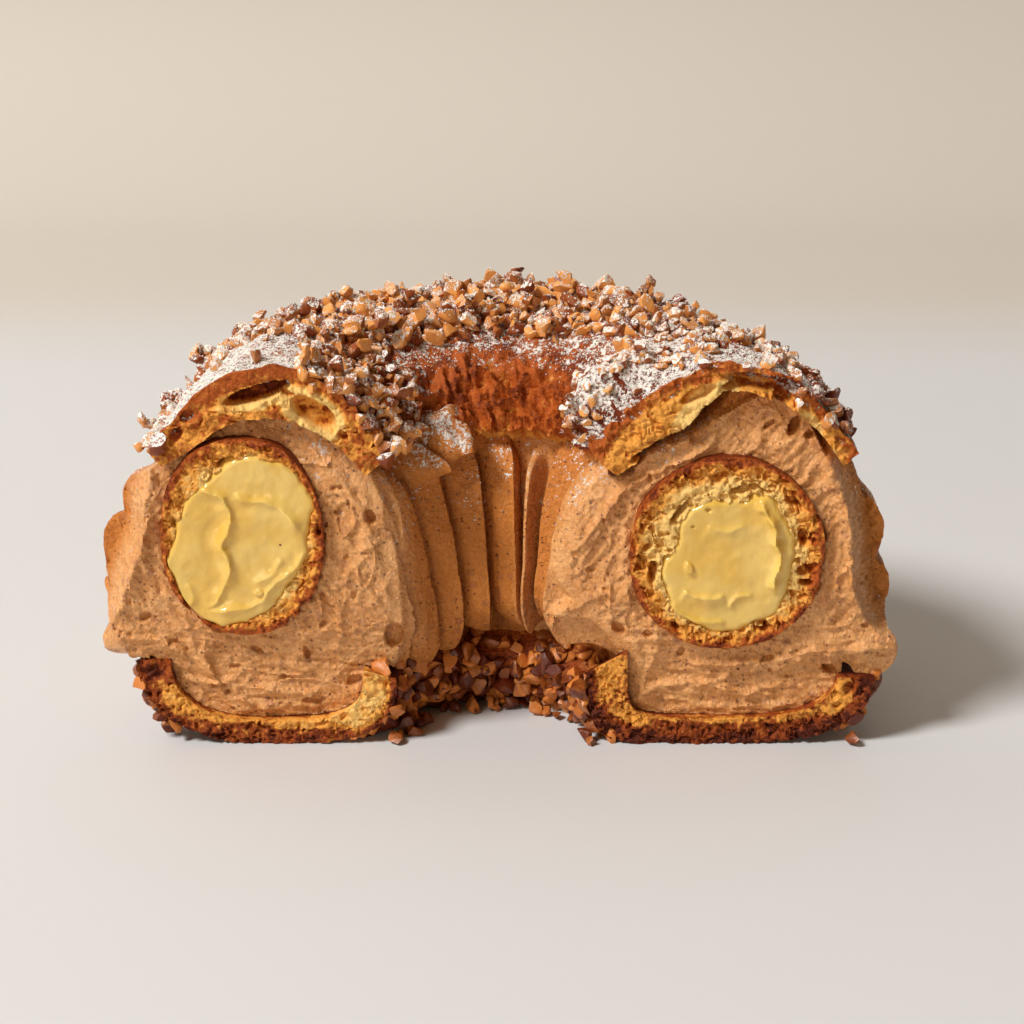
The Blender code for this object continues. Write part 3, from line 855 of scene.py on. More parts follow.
def cream_shape(turn, share, beyond):
    bell_degrees = np.interp(
        share, [0, 0.33, 0.41, 0.78, 0.89, 0.891], [-HEM, 55, 132, 180 + HEM, 180 + HEM, -HEM]
    )
    bowl_degrees = np.interp(share, [0.80, 0.98], [180, 360])
    in_bowl = climb(share, 0.78, 0.02) * climb(share, 1.0, -0.02)
    s = section(turn)
    r, z = bell(turn, bell_degrees)
    ra, za = bell(turn, bell_degrees - 1)
    rb, zb = bell(turn, bell_degrees + 1)
    out_r, out_z = zb - za, -(rb - ra)
    size = np.hypot(out_r, out_z) + 1e-9
    out_r, out_z = out_r / size, out_z / size
    start = place(turn, r, z, beyond * 0)
    inside = climb(bell_degrees, 137, 16)
    outside = climb(bell_degrees, 50, -16)
    fold_in, lip_in = inner_folds(turn, z)
    fold_out, lip_out = outer_folds(turn, z, start)
    foot = step01((z - s.rim + 3.0) / 6.0)
    along = np.stack([turn * 150, turn * 0, z * 0.22], axis=-1)
    fine = 0.30 * cloud(along, 2.6, 205, 2)
    grow = inside * ((fold_in - 3.2) * foot + fine) + outside * ((fold_out - 2.4) * foot + 1.4 * fine)
    # a flap of cream squeezed out under the lid, left of the middle
    hem_at = 151 - 28 * (turn - 0.31) + 3.5 * cloud(start, 5.0, 206)
    flap = hump(turn, FLAP_TURN, 0.145) ** 0.4 * climb(bell_degrees, 127, 8)
    flap *= step01((hem_at - bell_degrees) / 3.2)
    grow += 8.4 * flap * (0.85 + 0.35 * cloud(start, 5.0, 207))
    # at the right cut cream has pushed up into the lid
    grow += 2.4 * climb(turn, 0.93, 0.05) * hump(bell_degrees, 80, 24)
    grow += (inside + outside).clip(0, 1) * 0.55 * cloud(start, 8.0, 209, 2) + 0.12 * cloud(start, 2.2, 211)
    # the outer sides spread a little near the cuts
    grow += 1.7 * climb(np.abs(2 * turn - 1), 0.72, 0.2) * outside * hump(z, 38, 27)
    # drag tips on the outside near the cut
    for tip_turn, tip_z, tall in DRAG_TIPS:
        near = np.hypot((turn - tip_turn) * 200, z - tip_z)
        grow += tall * np.exp(-((near / 1.7) ** 2)) * outside
    r, z = r + grow * out_r, z + grow * out_z
    # the feet of the folds round off lower than the gaps between them
    hem = climb(-bell_degrees, 8, 30) + climb(bell_degrees, 188, 30)
    hem = hem * (1 - in_bowl)
    z -= hem * (1.2 * (fold_in * inside + fold_out * outside) / 4 + 0.8 * cloud(start, 6.0, 213) - 0.6)
    # close to the cuts the cream sits down over the rims of the base
    z -= 2.6 * hem * climb(np.abs(2 * turn - 1), 0.88, 0.08)
    z -= 1.6 * climb(bell_degrees, 140, 8) * flap
    # on the inside the folds hang down over the base, lowest on the left
    over = climb(bell_degrees, 176, 22) * inside * (1 - in_bowl) * (beyond <= 0) * step01(turn / 0.05)
    hang = 1.6 + 4.6 * climb(turn, 0.42, -0.30) * step01(turn / 0.10)
    r -= over * 2.2
    z -= over**2 * hang * (0.30 + 0.70 * np.clip(fold_in / 5.5, 0, 1))
    lip = (lip_in * inside + lip_out * outside) * foot * (1 - in_bowl) * (beyond <= 0)
    bowl_r, bowl_z = bowl(turn, bowl_degrees, s.wall - 0.35, s.floor - 0.35)
    r = r * (1 - in_bowl) + bowl_r * in_bowl
    z = z * (1 - in_bowl) + bowl_z * in_bowl
    return place(np.clip(turn + lip, 0, 1), r, z, beyond)


def tube_shape(turn, share, beyond, inset_share=0.0):
    """The inner ring's outside, or the custard in it, this share of the wall further in."""
    s = section(turn)
    out, rise = np.cos(np.radians(share * 360)), np.sin(np.radians(share * 360))
    inset = s.tube_wall * inset_share
    r = s.tube_r + (s.tube_wide - inset) * power(out, TUBE_SQUARE)
    z = s.tube_z + (s.tube_high - inset) * power(rise, TUBE_SQUARE)
    lump = 0.5 * cloud(place(turn, r, z, 0 * beyond), 7.0, 41)
    return place(turn, r + lump * out, z + lump * rise, beyond)


def lid_shape(turn, share, beyond):
    """The baked outside from the outer rim over the top to the inner rim, then back along the cream."""
    s = section(turn)
    over = share < 0.60
    t = np.where(over, share / 0.60, (1.0 - share) / 0.40)
    degrees = s.lid_outer + (s.lid_inner - s.lid_outer) * t
    droop = 1.2 * cloud(np.stack([turn * 140, turn * 0, turn * 0], axis=-1), 7.0, 301, 2)
    ragged = 0.8 * cloud(np.stack([turn * 140, turn * 0, turn * 0 + 9], axis=-1), 2.4, 311, 2)
    degrees = degrees + np.where(t > 0.5, droop + ragged, -droop) * np.abs(2 * t - 1) ** 3 * 2.2
    degrees = degrees - 7.0 * hump(turn, 0.27, 0.13) * climb(t, 0.6, 0.4)
    crown = s.lid_rim + (s.lid_crown - s.lid_rim) * np.sin(math.pi * t) ** 0.9
    risen = (hump(turn, LUMP_TURN, 0.085) * hump(degrees, 130, 24)) ** 0.6
    lump = 7.6 * risen
    start = place(turn, *bell(turn, degrees), 0 * beyond)
    rough = clouds(start, (0.9, 11.0, 303), (0.8, 4.0, 305, 2), (0.40, 1.8, 307, 2))
    rough = rough + 0.16 * lump * cloud(start, 3.2, 319, 2)
    # the wall round the hole is torn and fibrous, in ledges along the ring
    wall = climb(degrees, 112, 16) * (1 - 0.6 * risen)
    along = np.stack([turn * 36, turn * 0, start[..., 2] * 1.3], axis=-1)
    fibres = 2.6 * crests(along, 4.2, 313) - 1.5 * crests(along + 20, 2.2, 315)
    rough = rough + wall * (fibres + 1.1 * cloud(start, 2.0, 317, 2))
    torn = 0.3 * cloud(start, 3.0, 309, 2)
    # at the right cut the crumb under the crust is thick towards the hole
    thick = 4.6 * climb(turn, 0.90, 0.07) * hump(degrees, 122, 30) ** 0.7
    grow = np.where(over, crown + rough + lump, -0.3 + torn + 0.55 * lump - thick)
    return place(turn, *bell(turn, degrees, grow), beyond)


def base_shape(turn, share, beyond):
    """The outside from the outer rim round the foot to the inner rim, then back inside the trough."""
    s = section(turn)
    under = share < 0.58
    t = np.where(under, share / 0.58, (1.0 - share) / 0.42)
    degrees = 360 - 180 * t
    start = place(turn, *bowl(turn, degrees, 0.0, 0.0), 0 * beyond)
    rough = clouds(start, (0.5, 7.0, 401), (0.45, 2.6, 403, 2), (0.2, 1.2, 405))
    rim = np.abs(2 * t - 1) ** 6
    end = climb(np.abs(2 * turn - 1), 0.86, 0.10)
    raised = np.where(t > 0.5, 4.6 * climb(turn, 0.90, 0.07), np.where(turn < 0.5, 1.5, -1.6) * end) * rim
    outer_r, outer_z = bowl(turn, degrees, -rough, 0.0)
    inner_r, inner_z = bowl(turn, degrees, s.wall + 0.7, s.floor + 0.7)
    z = np.where(under, outer_z, inner_z) + rim * 0.9 * cloud(start, 4.0, 407, 2) + raised
    return place(turn, np.where(under, outer_r, inner_r), np.maximum(z, 0.0), beyond)


# ---------------------------------------------------------------- materials


def put(tree, kind, sockets=(), **settings):
    """Adds a node, with its settings and its sockets given as numbers or as other nodes' outputs."""
    node = tree.nodes.new(kind)
    for key, value in settings.items():
        setattr(node, key, value)
    for name, value in dict(sockets).items():
        if isinstance(value, bpy.types.NodeSocket):
            tree.links.new(value, node.inputs[name])
        else:
            node.inputs[name].default_value = value
    return node


def four(colour):
    """A colour with full opacity, or the socket that gives one."""
    return colour if isinstance(colour, bpy.types.NodeSocket) else (*colour, 1.0)


def mix(tree, factor, a, b):
    sockets = {0: factor, 6: four(a), 7: four(b)}
    return put(tree, "ShaderNodeMix", sockets, data_type="RGBA", blend_type="MIX").outputs[2]


def sums(tree, operation, *values):
    return put(tree, "ShaderNodeMath", dict(enumerate(values)), operation=operation).outputs[0]


def plus(tree, *values):
    return sums(tree, "ADD", *values)


def times(tree, *values):
    return sums(tree, "MULTIPLY", *values)


def swing(tree, noise, strength):
    """Noise from 0 to 1 made to swing this much about nothing."""
    return times(tree, sums(tree, "SUBTRACT", noise, 0.5), strength)


def ranged(tree, value, low, high, to_low=0.0, to_high=1.0):
    sockets = {"Value": value, "From Min": low, "From Max": high, "To Min": to_low, "To Max": to_high}
    return put(tree, "ShaderNodeMapRange", sockets, interpolation_type="SMOOTHSTEP").outputs["Result"]


def here(tree):
    return put(tree, "ShaderNodeTexCoord").outputs["Object"]


def lumps(tree, coords, size, detail=2.0, roughness=0.55, warp=0.0):
    """Noise whose lumps are about this many millimetres across."""
    shape = {"Detail": detail, "Roughness": roughness, "Distortion": warp}
    return put(tree, "ShaderNodeTexNoise", {"Vector": coords, "Scale": 1000 / size, **shape}).outputs["Fac"]


def cells(tree, coords, size, feature="F1"):
    return put(tree, "ShaderNodeTexVoronoi", {"Vector": coords, "Scale": 1000 / size}, feature=feature)


def some_of(tree, dots, share):
    """A mask that keeps this share of the cells."""
    number = put(tree, "ShaderNodeSeparateColor", {0: dots.outputs["Color"]}).outputs["Red"]
    return sums(tree, "LESS_THAN", number, share)


def read(tree, name):
    return put(tree, "ShaderNodeAttribute", attribute_name=name, attribute_type="GEOMETRY").outputs["Fac"]


def new_group(name, inputs, outputs):
    """A shader node group with float or colour sockets, its input node and its output node."""
    tree = bpy.data.node_groups.new(name, "ShaderNodeTree")
    for way, sockets in (("INPUT", inputs), ("OUTPUT", outputs)):
        for socket, kind in sockets:
            tree.interface.new_socket(socket, in_out=way, socket_type=kind)
    return tree, tree.nodes.new("NodeGroupInput"), tree.nodes.new("NodeGroupOutput")


NUMBER, COLOUR = "NodeSocketFloat", "NodeSocketColor"


def browning(name):
    """Colour of baked dough by its depth under the baked skin in millimetres."""
    colours = ("Burnt", "Crust", "Gold", "Crumb")
    inputs = [("Depth", NUMBER), *((each, COLOUR) for each in colours)]
    tree, given, out = new_group(name, inputs, [("Color", COLOUR)])
    coords = here(tree)
    swings = plus(
        tree,
        swing(tree, lumps(tree, coords, 6.0, 3.0), 1.6),
        swing(tree, lumps(tree, coords, 0.8, 3.0, 0.65), 2.6),
    )
    depth = plus(tree, given.outputs["Depth"], swings)
    colour = given.outputs[colours[0]]
    for deeper, low, high in zip(colours[1:], (-0.45, 0.5, 1.8), (0.35, 1.7, 4.2)):
        colour = mix(tree, ranged(tree, depth, low, high), colour, given.outputs[deeper])
    tree.links.new(colour, out.inputs["Color"])
    return tree


def icing_dust(name):
    """Where sieved sugar lies: on what faces up, in fine broken patches."""
    tree, given, out = new_group(name, [("Amount", NUMBER)], [("Mask", NUMBER), ("Height", NUMBER)])
    coords, amount = here(tree), given.outputs["Amount"]
    normal = put(tree, "ShaderNodeNewGeometry").outputs["Normal"]
    up = put(tree, "ShaderNodeSeparateXYZ", {0: normal}).outputs["Z"]
    grain = lumps(tree, coords, 0.62, 3.0, 0.75)
    level = times(tree, ranged(tree, up, -0.35, 0.65), amount)
    level = plus(tree, level, swing(tree, lumps(tree, coords, 2.4, 4.0, 0.7), 2.4))
    level = plus(tree, level, swing(tree, grain, 2.6))
    mask = times(tree, ranged(tree, level, 0.52, 0.68), ranged(tree, amount, 0.02, 0.2))
    mask = times(tree, mask, ranged(tree, lumps(tree, coords, 0.7, 3.0, 0.7), 0.42, 0.47, 0.12, 1.0))
    tree.links.new(mask, out.inputs["Mask"])
    tree.links.new(times(tree, mask, grain), out.inputs["Height"])
    return tree


def nut_flecks(name):
    """Specks of ground nut skin: fine ones and a few larger soft ones."""
    tree, given, out = new_group(name, [("Share", NUMBER)], [("Fine", NUMBER), ("Coarse", NUMBER)])
    coords = here(tree)
    for socket, size, reach, ragged in (("Fine", 1.1, 0.17, 0.35), ("Coarse", 2.6, 0.26, 0.75)):
        dots = cells(tree, coords, size)
        edge = plus(
            tree, dots.outputs["Distance"], swing(tree, lumps(tree, coords, size * 0.45, 3.0, 0.7), ragged)
        )
        chosen = some_of(tree, dots, given.outputs["Share"])
        tree.links.new(times(tree, ranged(tree, edge, reach + 0.10, reach), chosen), out.inputs[socket])
    return tree


def use(tree, build, sockets):
    """Places a shared node group, which is built the first time that it is used."""
    group = bpy.data.node_groups.get(build.__name__) or build(build.__name__)
    return put(tree, "ShaderNodeGroup", sockets, node_tree=group).outputs


def new_material(name):
    """A material, its tree and the coordinates that its patterns lie on."""
    material = bpy.data.materials.new(name)
    material.use_nodes = True
    material.node_tree.nodes.clear()
    return material, material.node_tree, here(material.node_tree)


def surface(tree, colour, rough, heights, specular=0.5, under=0.0, spread=(1.0, 0.2, 0.1), scale=0.05):
    """The Principled surface, roughened by (strength, distance in mm, height) layers. Under is how much
    light passes under the skin, and spread and scale are how far."""
    sockets = {
        "Base Color": colour,
        "Roughness": rough,
        "Specular IOR Level": specular,
        "Subsurface Weight": under,
        "Subsurface Radius": spread,
        "Subsurface Scale": scale,
    }
    for strength, distance, height in heights:
        bumped = {"Strength": strength, "Distance": distance * MM, "Height": height}
        if "Normal" in sockets:
            bumped["Normal"] = sockets["Normal"]
        sockets["Normal"] = put(tree, "ShaderNodeBump", bumped).outputs["Normal"]
    shader = put(tree, "ShaderNodeBsdfPrincipled", sockets)
    put(tree, "ShaderNodeOutputMaterial", {"Surface": shader.outputs["BSDF"]})


def dusted(tree, look, colour, rough, heights, strength, distance):
    """Sieved sugar over a colour, a roughness and the layers of height, to which it adds its own."""
    dust = use(tree, icing_dust, {"Amount": read(tree, "dust")})
    heights.append((strength, distance, dust["Height"]))
    colour = mix(tree, dust["Mask"], colour, look.sugar)
    return colour, sums(tree, "MAXIMUM", rough, times(tree, dust["Mask"], 0.9))


def cream_material(look):
    material, tree, coords = new_material("piped_praline")
    broad, middling = lumps(tree, coords, 7.0, 3.0), lumps(tree, coords, 1.6, 3.0)
    fine, grain = lumps(tree, coords, 0.55, 3.0, 0.6), lumps(tree, coords, 0.9, 4.0, 0.72, 0.6)
    tone = plus(tree, times(tree, broad, 0.6), times(tree, middling, 0.4))
    painted_shade = read(tree, "painted_shade")
    colour = mix(tree, ranged(tree, tone, 0.36, 0.64), look.cream_deep, look.cream)
    # painted shade: the cream behind the cut faces is mixed towards the darker shaded colour, and its
    # specular is lowered there
    colour = mix(tree, painted_shade, colour, look.cream_fold)
    spots = use(tree, nut_flecks, {"Share": 0.34})
    colour = mix(tree, times(tree, spots["Coarse"], 0.45), colour, look.fleck_soft)
    colour = mix(tree, times(tree, spots["Fine"], 0.80), colour, look.fleck)
    dust = use(tree, icing_dust, {"Amount": read(tree, "dust")})
    colour = mix(tree, dust["Mask"], colour, look.sugar)
    heights = [
        (0.5, 0.7, middling),
        (0.9, 0.7, grain),
        (0.9, 0.35, fine),
        (0.5, 0.25, cells(tree, coords, 1.0).outputs["Distance"]),
        (0.6, 0.3, dust["Height"]),
    ]
    gloss = ranged(tree, painted_shade, 0.0, 0.85, 0.80, 0.20)
    rough = ranged(tree, middling, 0.3, 0.7, 0.17, 0.38)
    surface(tree, colour, rough, heights, gloss, 0.05, (1.0, 0.45, 0.2), 0.0014)
    return material


def custard_material(look):
    material, tree, coords = new_material("custard")
    broad, fine = lumps(tree, coords, 7.0, 2.0), lumps(tree, coords, 1.3, 2.0)
    colour = mix(tree, ranged(tree, broad, 0.35, 0.68), look.custard_deep, look.custard)
    dots = cells(tree, coords, 4.5)
    seeds = times(tree, ranged(tree, dots.outputs["Distance"], 0.06, 0.04), some_of(tree, dots, 0.3))
    colour = mix(tree, seeds, colour, look.fleck)
    heights = [(0.35, 0.6, broad), (0.30, 0.4, fine)]
    rough = ranged(tree, fine, 0.3, 0.7, 0.10, 0.22)
    surface(tree, colour, rough, heights, 0.6, 0.25, (1.0, 0.7, 0.3), 0.0025)
    return material


def choux_material(name, look, burnt, crust, with_dust=False):
    material, tree, coords = new_material(name)
    colours = {"Burnt": burnt, "Crust": crust, "Gold": look.gold, "Crumb": look.crumb}
    colours = {key: four(value) for key, value in colours.items()}
    colour = use(tree, browning, {"Depth": read(tree, "bake_depth"), **colours})["Color"]
    fine, fibres = lumps(tree, coords, 0.5, 3.0, 0.65), cells(tree, coords, 0.9, "DISTANCE_TO_EDGE")
    heights = [(0.8, 0.45, fine), (0.6, 0.35, fibres.outputs["Distance"])]
    rough = ranged(tree, fine, 0.3, 0.7, 0.42, 0.62)
    if with_dust:
        colour, rough = dusted(tree, look, colour, rough, heights, 1.0, 0.45)
    surface(tree, colour, rough, heights, 0.22, 0.12, (1.0, 0.4, 0.15), 0.0012)
    return material


def nut_material(name, look, pale, toasted, with_dust=False):
    material, tree, coords = new_material(name)
    fine, broad = lumps(tree, coords, 0.6, 3.0, 0.6), lumps(tree, coords, 2.2, 2.0)
    tone = plus(tree, read(tree, "roast"), swing(tree, broad, 0.7))
    colour = mix(tree, ranged(tree, tone, 0.0, 1.0), pale, toasted)
    skin = times(tree, read(tree, "skin"), ranged(tree, fine, 0.30, 0.55))
    colour = mix(tree, skin, colour, look.nut_skin)
    heights = [(0.5, 0.3, fine)]
    rough = ranged(tree, fine, 0.3, 0.7, 0.24, 0.50)
    if with_dust:
        colour, rough = dusted(tree, look, colour, rough, heights, 0.8, 0.35)
    surface(tree, colour, rough, heights, 0.5, 0.15, (1.0, 0.5, 0.2), 0.001)
    return material


def sugar_material(look):
    material, tree, coords = new_material("icing_sugar")
    fine = lumps(tree, coords, 0.25, 2.0)
    colour = mix(tree, ranged(tree, fine, 0.3, 0.7), look.sugar_shade, look.sugar)
    surface(tree, colour, 0.7, [(0.3, 0.1, fine)], under=0.2, scale=0.0005)
    return material


def floor_material(look):
    material, tree, coords = new_material("pale_floor")
    broad, fine = lumps(tree, coords, 120.0, 2.0), lumps(tree, coords, 0.9, 2.0)
    back = put(tree, "ShaderNodeSeparateXYZ", {0: coords}).outputs["Y"]
    colour = mix(tree, ranged(tree, back, CUT_Y + 0.235, CUT_Y + 0.345), look.floor, look.backdrop)
    colour = mix(tree, ranged(tree, broad, 0.2, 0.8, 0.0, 0.06), colour, look.backdrop)
    surface(tree, colour, 0.62, [(0.12, 0.1, fine)], 0.3)
    return material


# ---------------------------------------------------------------- scattered pieces


def reach_of(*pieces):
    """A tree for finding the surface of finished pieces, in metres."""
    points, faces = [], []
    for piece in pieces:
        start = len(points)
        points += [tuple(v.co) for v in piece.data.vertices]
        faces += [[start + i for i in polygon.vertices] for polygon in piece.data.polygons]
    return BVHTree.FromPolygons(points, faces)


def nut_kinds():
    """Chopped nuts: lumps with a few flat broken sides. Each is its points, faces and which are skin."""
    rng = np.random.default_rng(11)
    kinds = []
    for number in range(NUT_KINDS):
        deselect()
        bpy.ops.mesh.primitive_ico_sphere_add(subdivisions=2, radius=1.0)
        nut = bpy.context.object
        nut.scale = (1.0, rng.uniform(0.66, 0.92), rng.uniform(0.52, 0.78))
        apply_place(nut)
        points = np.array([v.co for v in nut.data.vertices])
        points *= 1 + 0.36 * cloud(points * 10 + 9 * number, 6.5, 601)[:, None]
        whole = np.ones(len(points), dtype=bool)
        for _ in range(4 + number % 3):
            way = rng.normal(size=3)
            way /= np.linalg.norm(way)
            past = np.maximum(points @ way - (points @ way).max() * rng.uniform(0.26, 0.64), 0)
            points -= 0.93 * past[:, None] * way
            whole &= past < 0.03
        nut.data.vertices.foreach_set("co", points.ravel())
        edit_all()
        bpy.ops.mesh.dissolve_limited(angle_limit=math.radians(7))
        bpy.ops.mesh.quads_convert_to_tris()
        end_edit()
        kept, faces = mesh_of(nut)
        nearest = ((kept[:, None] - points[None]) ** 2).sum(axis=2).argmin(axis=1)
        kept -= (kept.min(axis=0) + kept.max(axis=0)) / 2
        kinds.append((kept / np.ptp(kept, axis=0).max(), faces, whole[nearest][faces].all(axis=1)))
    return kinds


def mesh_of(piece):
    """The points and triangles of a piece, which is removed."""
    points = np.array([v.co for v in piece.data.vertices])
    faces = np.array([list(p.vertices) for p in piece.data.polygons])
    bpy.data.objects.remove(piece)
    return points, faces


def turned(rng, up):
    """A random turn whose third axis lies near this direction."""
    axis = Vector(up) + Vector(rng.normal(size=3)) * 0.45
    about = Matrix.Rotation(rng.uniform(0, 6.283), 3, "Z")
    return np.array(axis.to_track_quat("Z", "Y").to_matrix() @ about)


def a_nut(rng, kinds, normal, size, lengths, scale=1.0):
    """One turned nut: its points in metres, its faces, which are skin and how far it reaches down."""
    points, faces, skin = kinds[rng.integers(len(kinds))]
    long = size * rng.triangular(*lengths) * scale
    points = points @ turned(rng, normal).T * long
    return points, faces, skin, -(points @ normal).min()


def gather(name, shapes):
    """One piece from many copies: (points in metres, faces, {attribute: one number or one for each face})."""
    counts = [len(points) for points, _, _ in shapes]
    starts = np.concatenate([[0], np.cumsum(counts)[:-1]])
    points = np.concatenate([points for points, _, _ in shapes])
    faces = np.concatenate([faces + start for (_, faces, _), start in zip(shapes, starts)])
    mesh = bpy.data.meshes.new(name)
    mesh.from_pydata(points.tolist(), [], faces.tolist())
    mesh.update()
    piece = bpy.data.objects.new(name, mesh)
    bpy.context.scene.collection.objects.link(piece)
    for key in shapes[0][2]:
        values = np.concatenate([np.broadcast_to(values[key], len(faces)) for _, faces, values in shapes])
        mesh.attributes.new(key, "FLOAT", "FACE").data.foreach_set("value", values.astype(np.float32))
    return piece


def scatter(rng, tries, spacing, sample, ground):
    """Places for pieces on the ground: (place, normal, tag), none nearer together than the spacing in mm."""
    taken, found = np.zeros((0, 3)), []
    for _ in range(tries):
        start, way, wanted, tag = sample(rng)
        if rng.random() > wanted:
            continue
        start = Vector(start) * MM + Vector((AXIS_X, CUT_Y, 0))
        at, normal, _, _ = ground.ray_cast(start, Vector(way), 0.05)
        if at is None:
            continue
        at = np.array(at)
        gap = spacing * MM * rng.uniform(0.75, 1.25)
        if len(taken) and np.min(((taken - at) ** 2).sum(axis=1)) < gap**2:
            continue
        taken = np.vstack([taken, at])
        found.append((at, np.array(normal), tag))
    return found


def lid_sample(rng):
    """Aims at the lid from outside, square to it."""
    turn, degrees = rng.uniform(0.0, 1.0), rng.uniform(38.0, 150.0)
    start, end = (place(turn, *(float(v) for v in bell(turn, degrees, far)), 0.0) for far in (22.0, 0.0))
    way = (end - start) / np.linalg.norm(end - start)
    return start, way, float(nut_cover(turn, degrees)), (turn, degrees)


def base_sample(rng):
    """Aims at the base from inside the ring or from outside, a little downwards."""
    turn, inner = rng.uniform(0, 1), rng.random() < 0.68
    degrees = rng.uniform(180, 243) if inner else rng.uniform(318, 358)
    r, z = (float(v) for v in bowl(turn, degrees, -14.0, 0.0))
    z = max(z, 0.8)
    start = place(turn, r, z, 0.0)
    way = place(turn, float(section(np.float64(turn)).middle), max(z - 2.0, 1.0), 0.0) - start
    outside = 0.9 if turn < 0.12 or turn > 0.90 else 0.40
    return start, way / np.linalg.norm(way), 0.97 if inner else outside, (turn, inner)


def at_lump(turn, degrees, wide, middle, high):
    """1 at the lump beside the hole, falling to 0 round it."""
    return hump(turn, LUMP_TURN, wide) * hump(degrees, middle, high)


def nut_cover(turn, degrees):
    """How thickly the chopped nuts lie: 0 bare, 1 full."""
    cover = 0.95 - 0.95 * climb(degrees, 106, 9)
    if turn < 0.24 and degrees >= 100:
        cover = 0.95 * (1 - step01((degrees - 136 + 90 * max(turn - 0.16, 0)) / 8))
    if turn < 0.17 and 56 < degrees < 102:
        cover *= 0.01 + 0.99 * climb(turn, 0.12, 0.05)
    if turn > 0.68 and degrees > 66:
        cover *= 1 - 0.45 * climb(turn, 0.68, 0.10) * climb(degrees, 66, 16)
    if turn > 0.93 and degrees > 56:
        cover *= 0.35
    if abs(turn - LUMP_TURN) < 0.085 and degrees > 112:
        cover = max(cover * 0.6, 0.5)
    # on the right they lie in clusters
    loose = climb(turn, 0.62, 0.10)
    where = np.array([[turn * 150.0, 0.0, degrees * 0.8]])
    return cover * (1 - loose * (0.35 - 1.4 * float(cloud(where, 9.0, 611)[0])))


def nut_scale(turn, degrees):
    """Smaller crumbs of nut lie on the right and on the lump beside the hole."""
    small = climb(turn, 0.70, 0.10) * climb(degrees, 62, 14)
    return 1 - 0.20 * small - 0.20 * at_lump(turn, degrees, 0.11, 128, 30)


def dust_cover(turn, degrees):
    """How much sieved sugar lies here: 0 none, 1 thick."""
    left = climb(turn, 0.19, -0.10) * hump(degrees, 70, 50)
    right = climb(turn, 0.66, 0.12) * hump(degrees, 96, 58)
    lump = at_lump(turn, degrees, 0.12, 126, 28)
    cover = 0.58 + np.maximum(0.60 * left, 0.24 * right + 0.66 * lump)
    back_wall = climb(degrees, 110, 10) * climb(turn, 0.26, 0.08) * climb(turn, 0.76, -0.08)
    return cover * (1 - back_wall)


def dust_on(points):
    """The same for points in millimetres from the axis."""
    turn, r, z = turns_of(points)
    s = section(turn)
    cover = dust_cover(turn, np.degrees(np.arctan2(z - s.belly_out, r - s.middle)))
    return cover * climb(points[:, 1], 0.35, 0.8) * climb(z, 52, 8)


# ---------------------------------------------------------------- settings


def length(name, description, default, **more):
    more = {"unit": "LENGTH", "subtype": "DISTANCE", "precision": 4, **more}
    return bpy.props.FloatProperty(name=name, description=description, default=default, **more)


def number(name, description, default, **more):
    return bpy.props.IntProperty(name=name, description=description, default=default, min=10, **more)


def paint(name, description, default):
    more = {"subtype": "COLOR", "size": 3, "min": 0.0, "max": 1.0}
    return bpy.props.FloatVectorProperty(name=name, description=description, default=default, **more)


class PastrySizes(bpy.types.PropertyGroup):
    """Sizes and amounts that can be changed before the pieces are made."""

    cut_detail: length("Cut detail", "Distance between points on the cuts", 0.00032, min=0.0002, max=0.002)
    nut_size: length("Nut size", "Longest side of a large piece of nut", 0.0047, min=0.001, max=0.01)
    nut_tries: number("Nuts", "Tries at placing a nut on the lid", 5200)
    grain_size: length("Grain size", "Width of a clump of icing sugar", 0.00030, min=0.0001, max=0.001)
    grains: number("Grains", "Clumps of icing sugar", 15000, max=24000)


class PastryColours(bpy.types.PropertyGroup):
    """Colours of the fillings, the baked dough, the nuts and the stage."""

    cream: paint("Praline cream", "Praline cream where it is palest", (0.89, 0.440, 0.155))
    cream_deep: paint("Deep praline cream", "Praline cream where it is darkest", (0.76, 0.325, 0.092))
    # painted shade: a darker, deeper cream colour painted over the cream behind the cut faces, in the folds
    # and on the sides, where shade falls
    cream_fold: paint("Folded praline cream", "Praline cream in the piped folds", (0.58, 0.190, 0.032))
    fleck: paint("Fleck", "Fine specks of nut skin in the cream", (0.16, 0.030, 0.014))
    fleck_soft: paint("Soft fleck", "Larger specks under the cream's surface", (0.36, 0.115, 0.050))
    custard: paint("Custard", "Pastry cream", (0.82, 0.57, 0.16))
    custard_deep: paint("Deep custard", "Pastry cream where it is richest", (0.78, 0.49, 0.096))
    burnt: paint("Dark crust", "Darkest baked skin", (0.17, 0.026, 0.004))
    crust: paint("Crust", "Baked skin", (0.43, 0.092, 0.011))
    foot_burnt: paint("Dark foot", "Darkest skin of the base", (0.085, 0.011, 0.002))
    foot: paint("Foot", "Baked skin of the base", (0.30, 0.058, 0.007))
    gold: paint("Golden crumb", "Crumb just under the skin", (0.82, 0.36, 0.060))
    crumb: paint("Pale crumb", "Crumb deep inside", (0.92, 0.60, 0.20))
    nut_pale: paint("Pale nut", "Lightly roasted nut", (0.86, 0.375, 0.095))
    nut_toasted: paint("Toasted nut", "Darkly roasted nut", (0.25, 0.046, 0.008))
    # partly the nuts' own roast and partly painted shade: the nuts round the base get darker, more saturated
    # colours than those on the lid, for the shade round the foot
    nut_glazed: paint("Glazed nut", "Paler nuts round the base", (0.66, 0.220, 0.042))
    nut_dark: paint("Dark glazed nut", "Darker nuts round the base", (0.11, 0.013, 0.001))
    nut_skin: paint("Nut skin", "Brown skin left on some nuts", (0.10, 0.018, 0.006))
    sugar: paint("Icing sugar", "Sieved sugar", (0.97, 0.91, 0.86))
    sugar_shade: paint("Sugar in shade", "Sugar between the grains", (0.78, 0.73, 0.69))
    floor: paint("Floor", "Floor under the pastry", (0.665, 0.68, 0.705))
    backdrop: paint("Backdrop", "Wall behind the floor", (0.625, 0.585, 0.535))


# ---------------------------------------------------------------- the makers


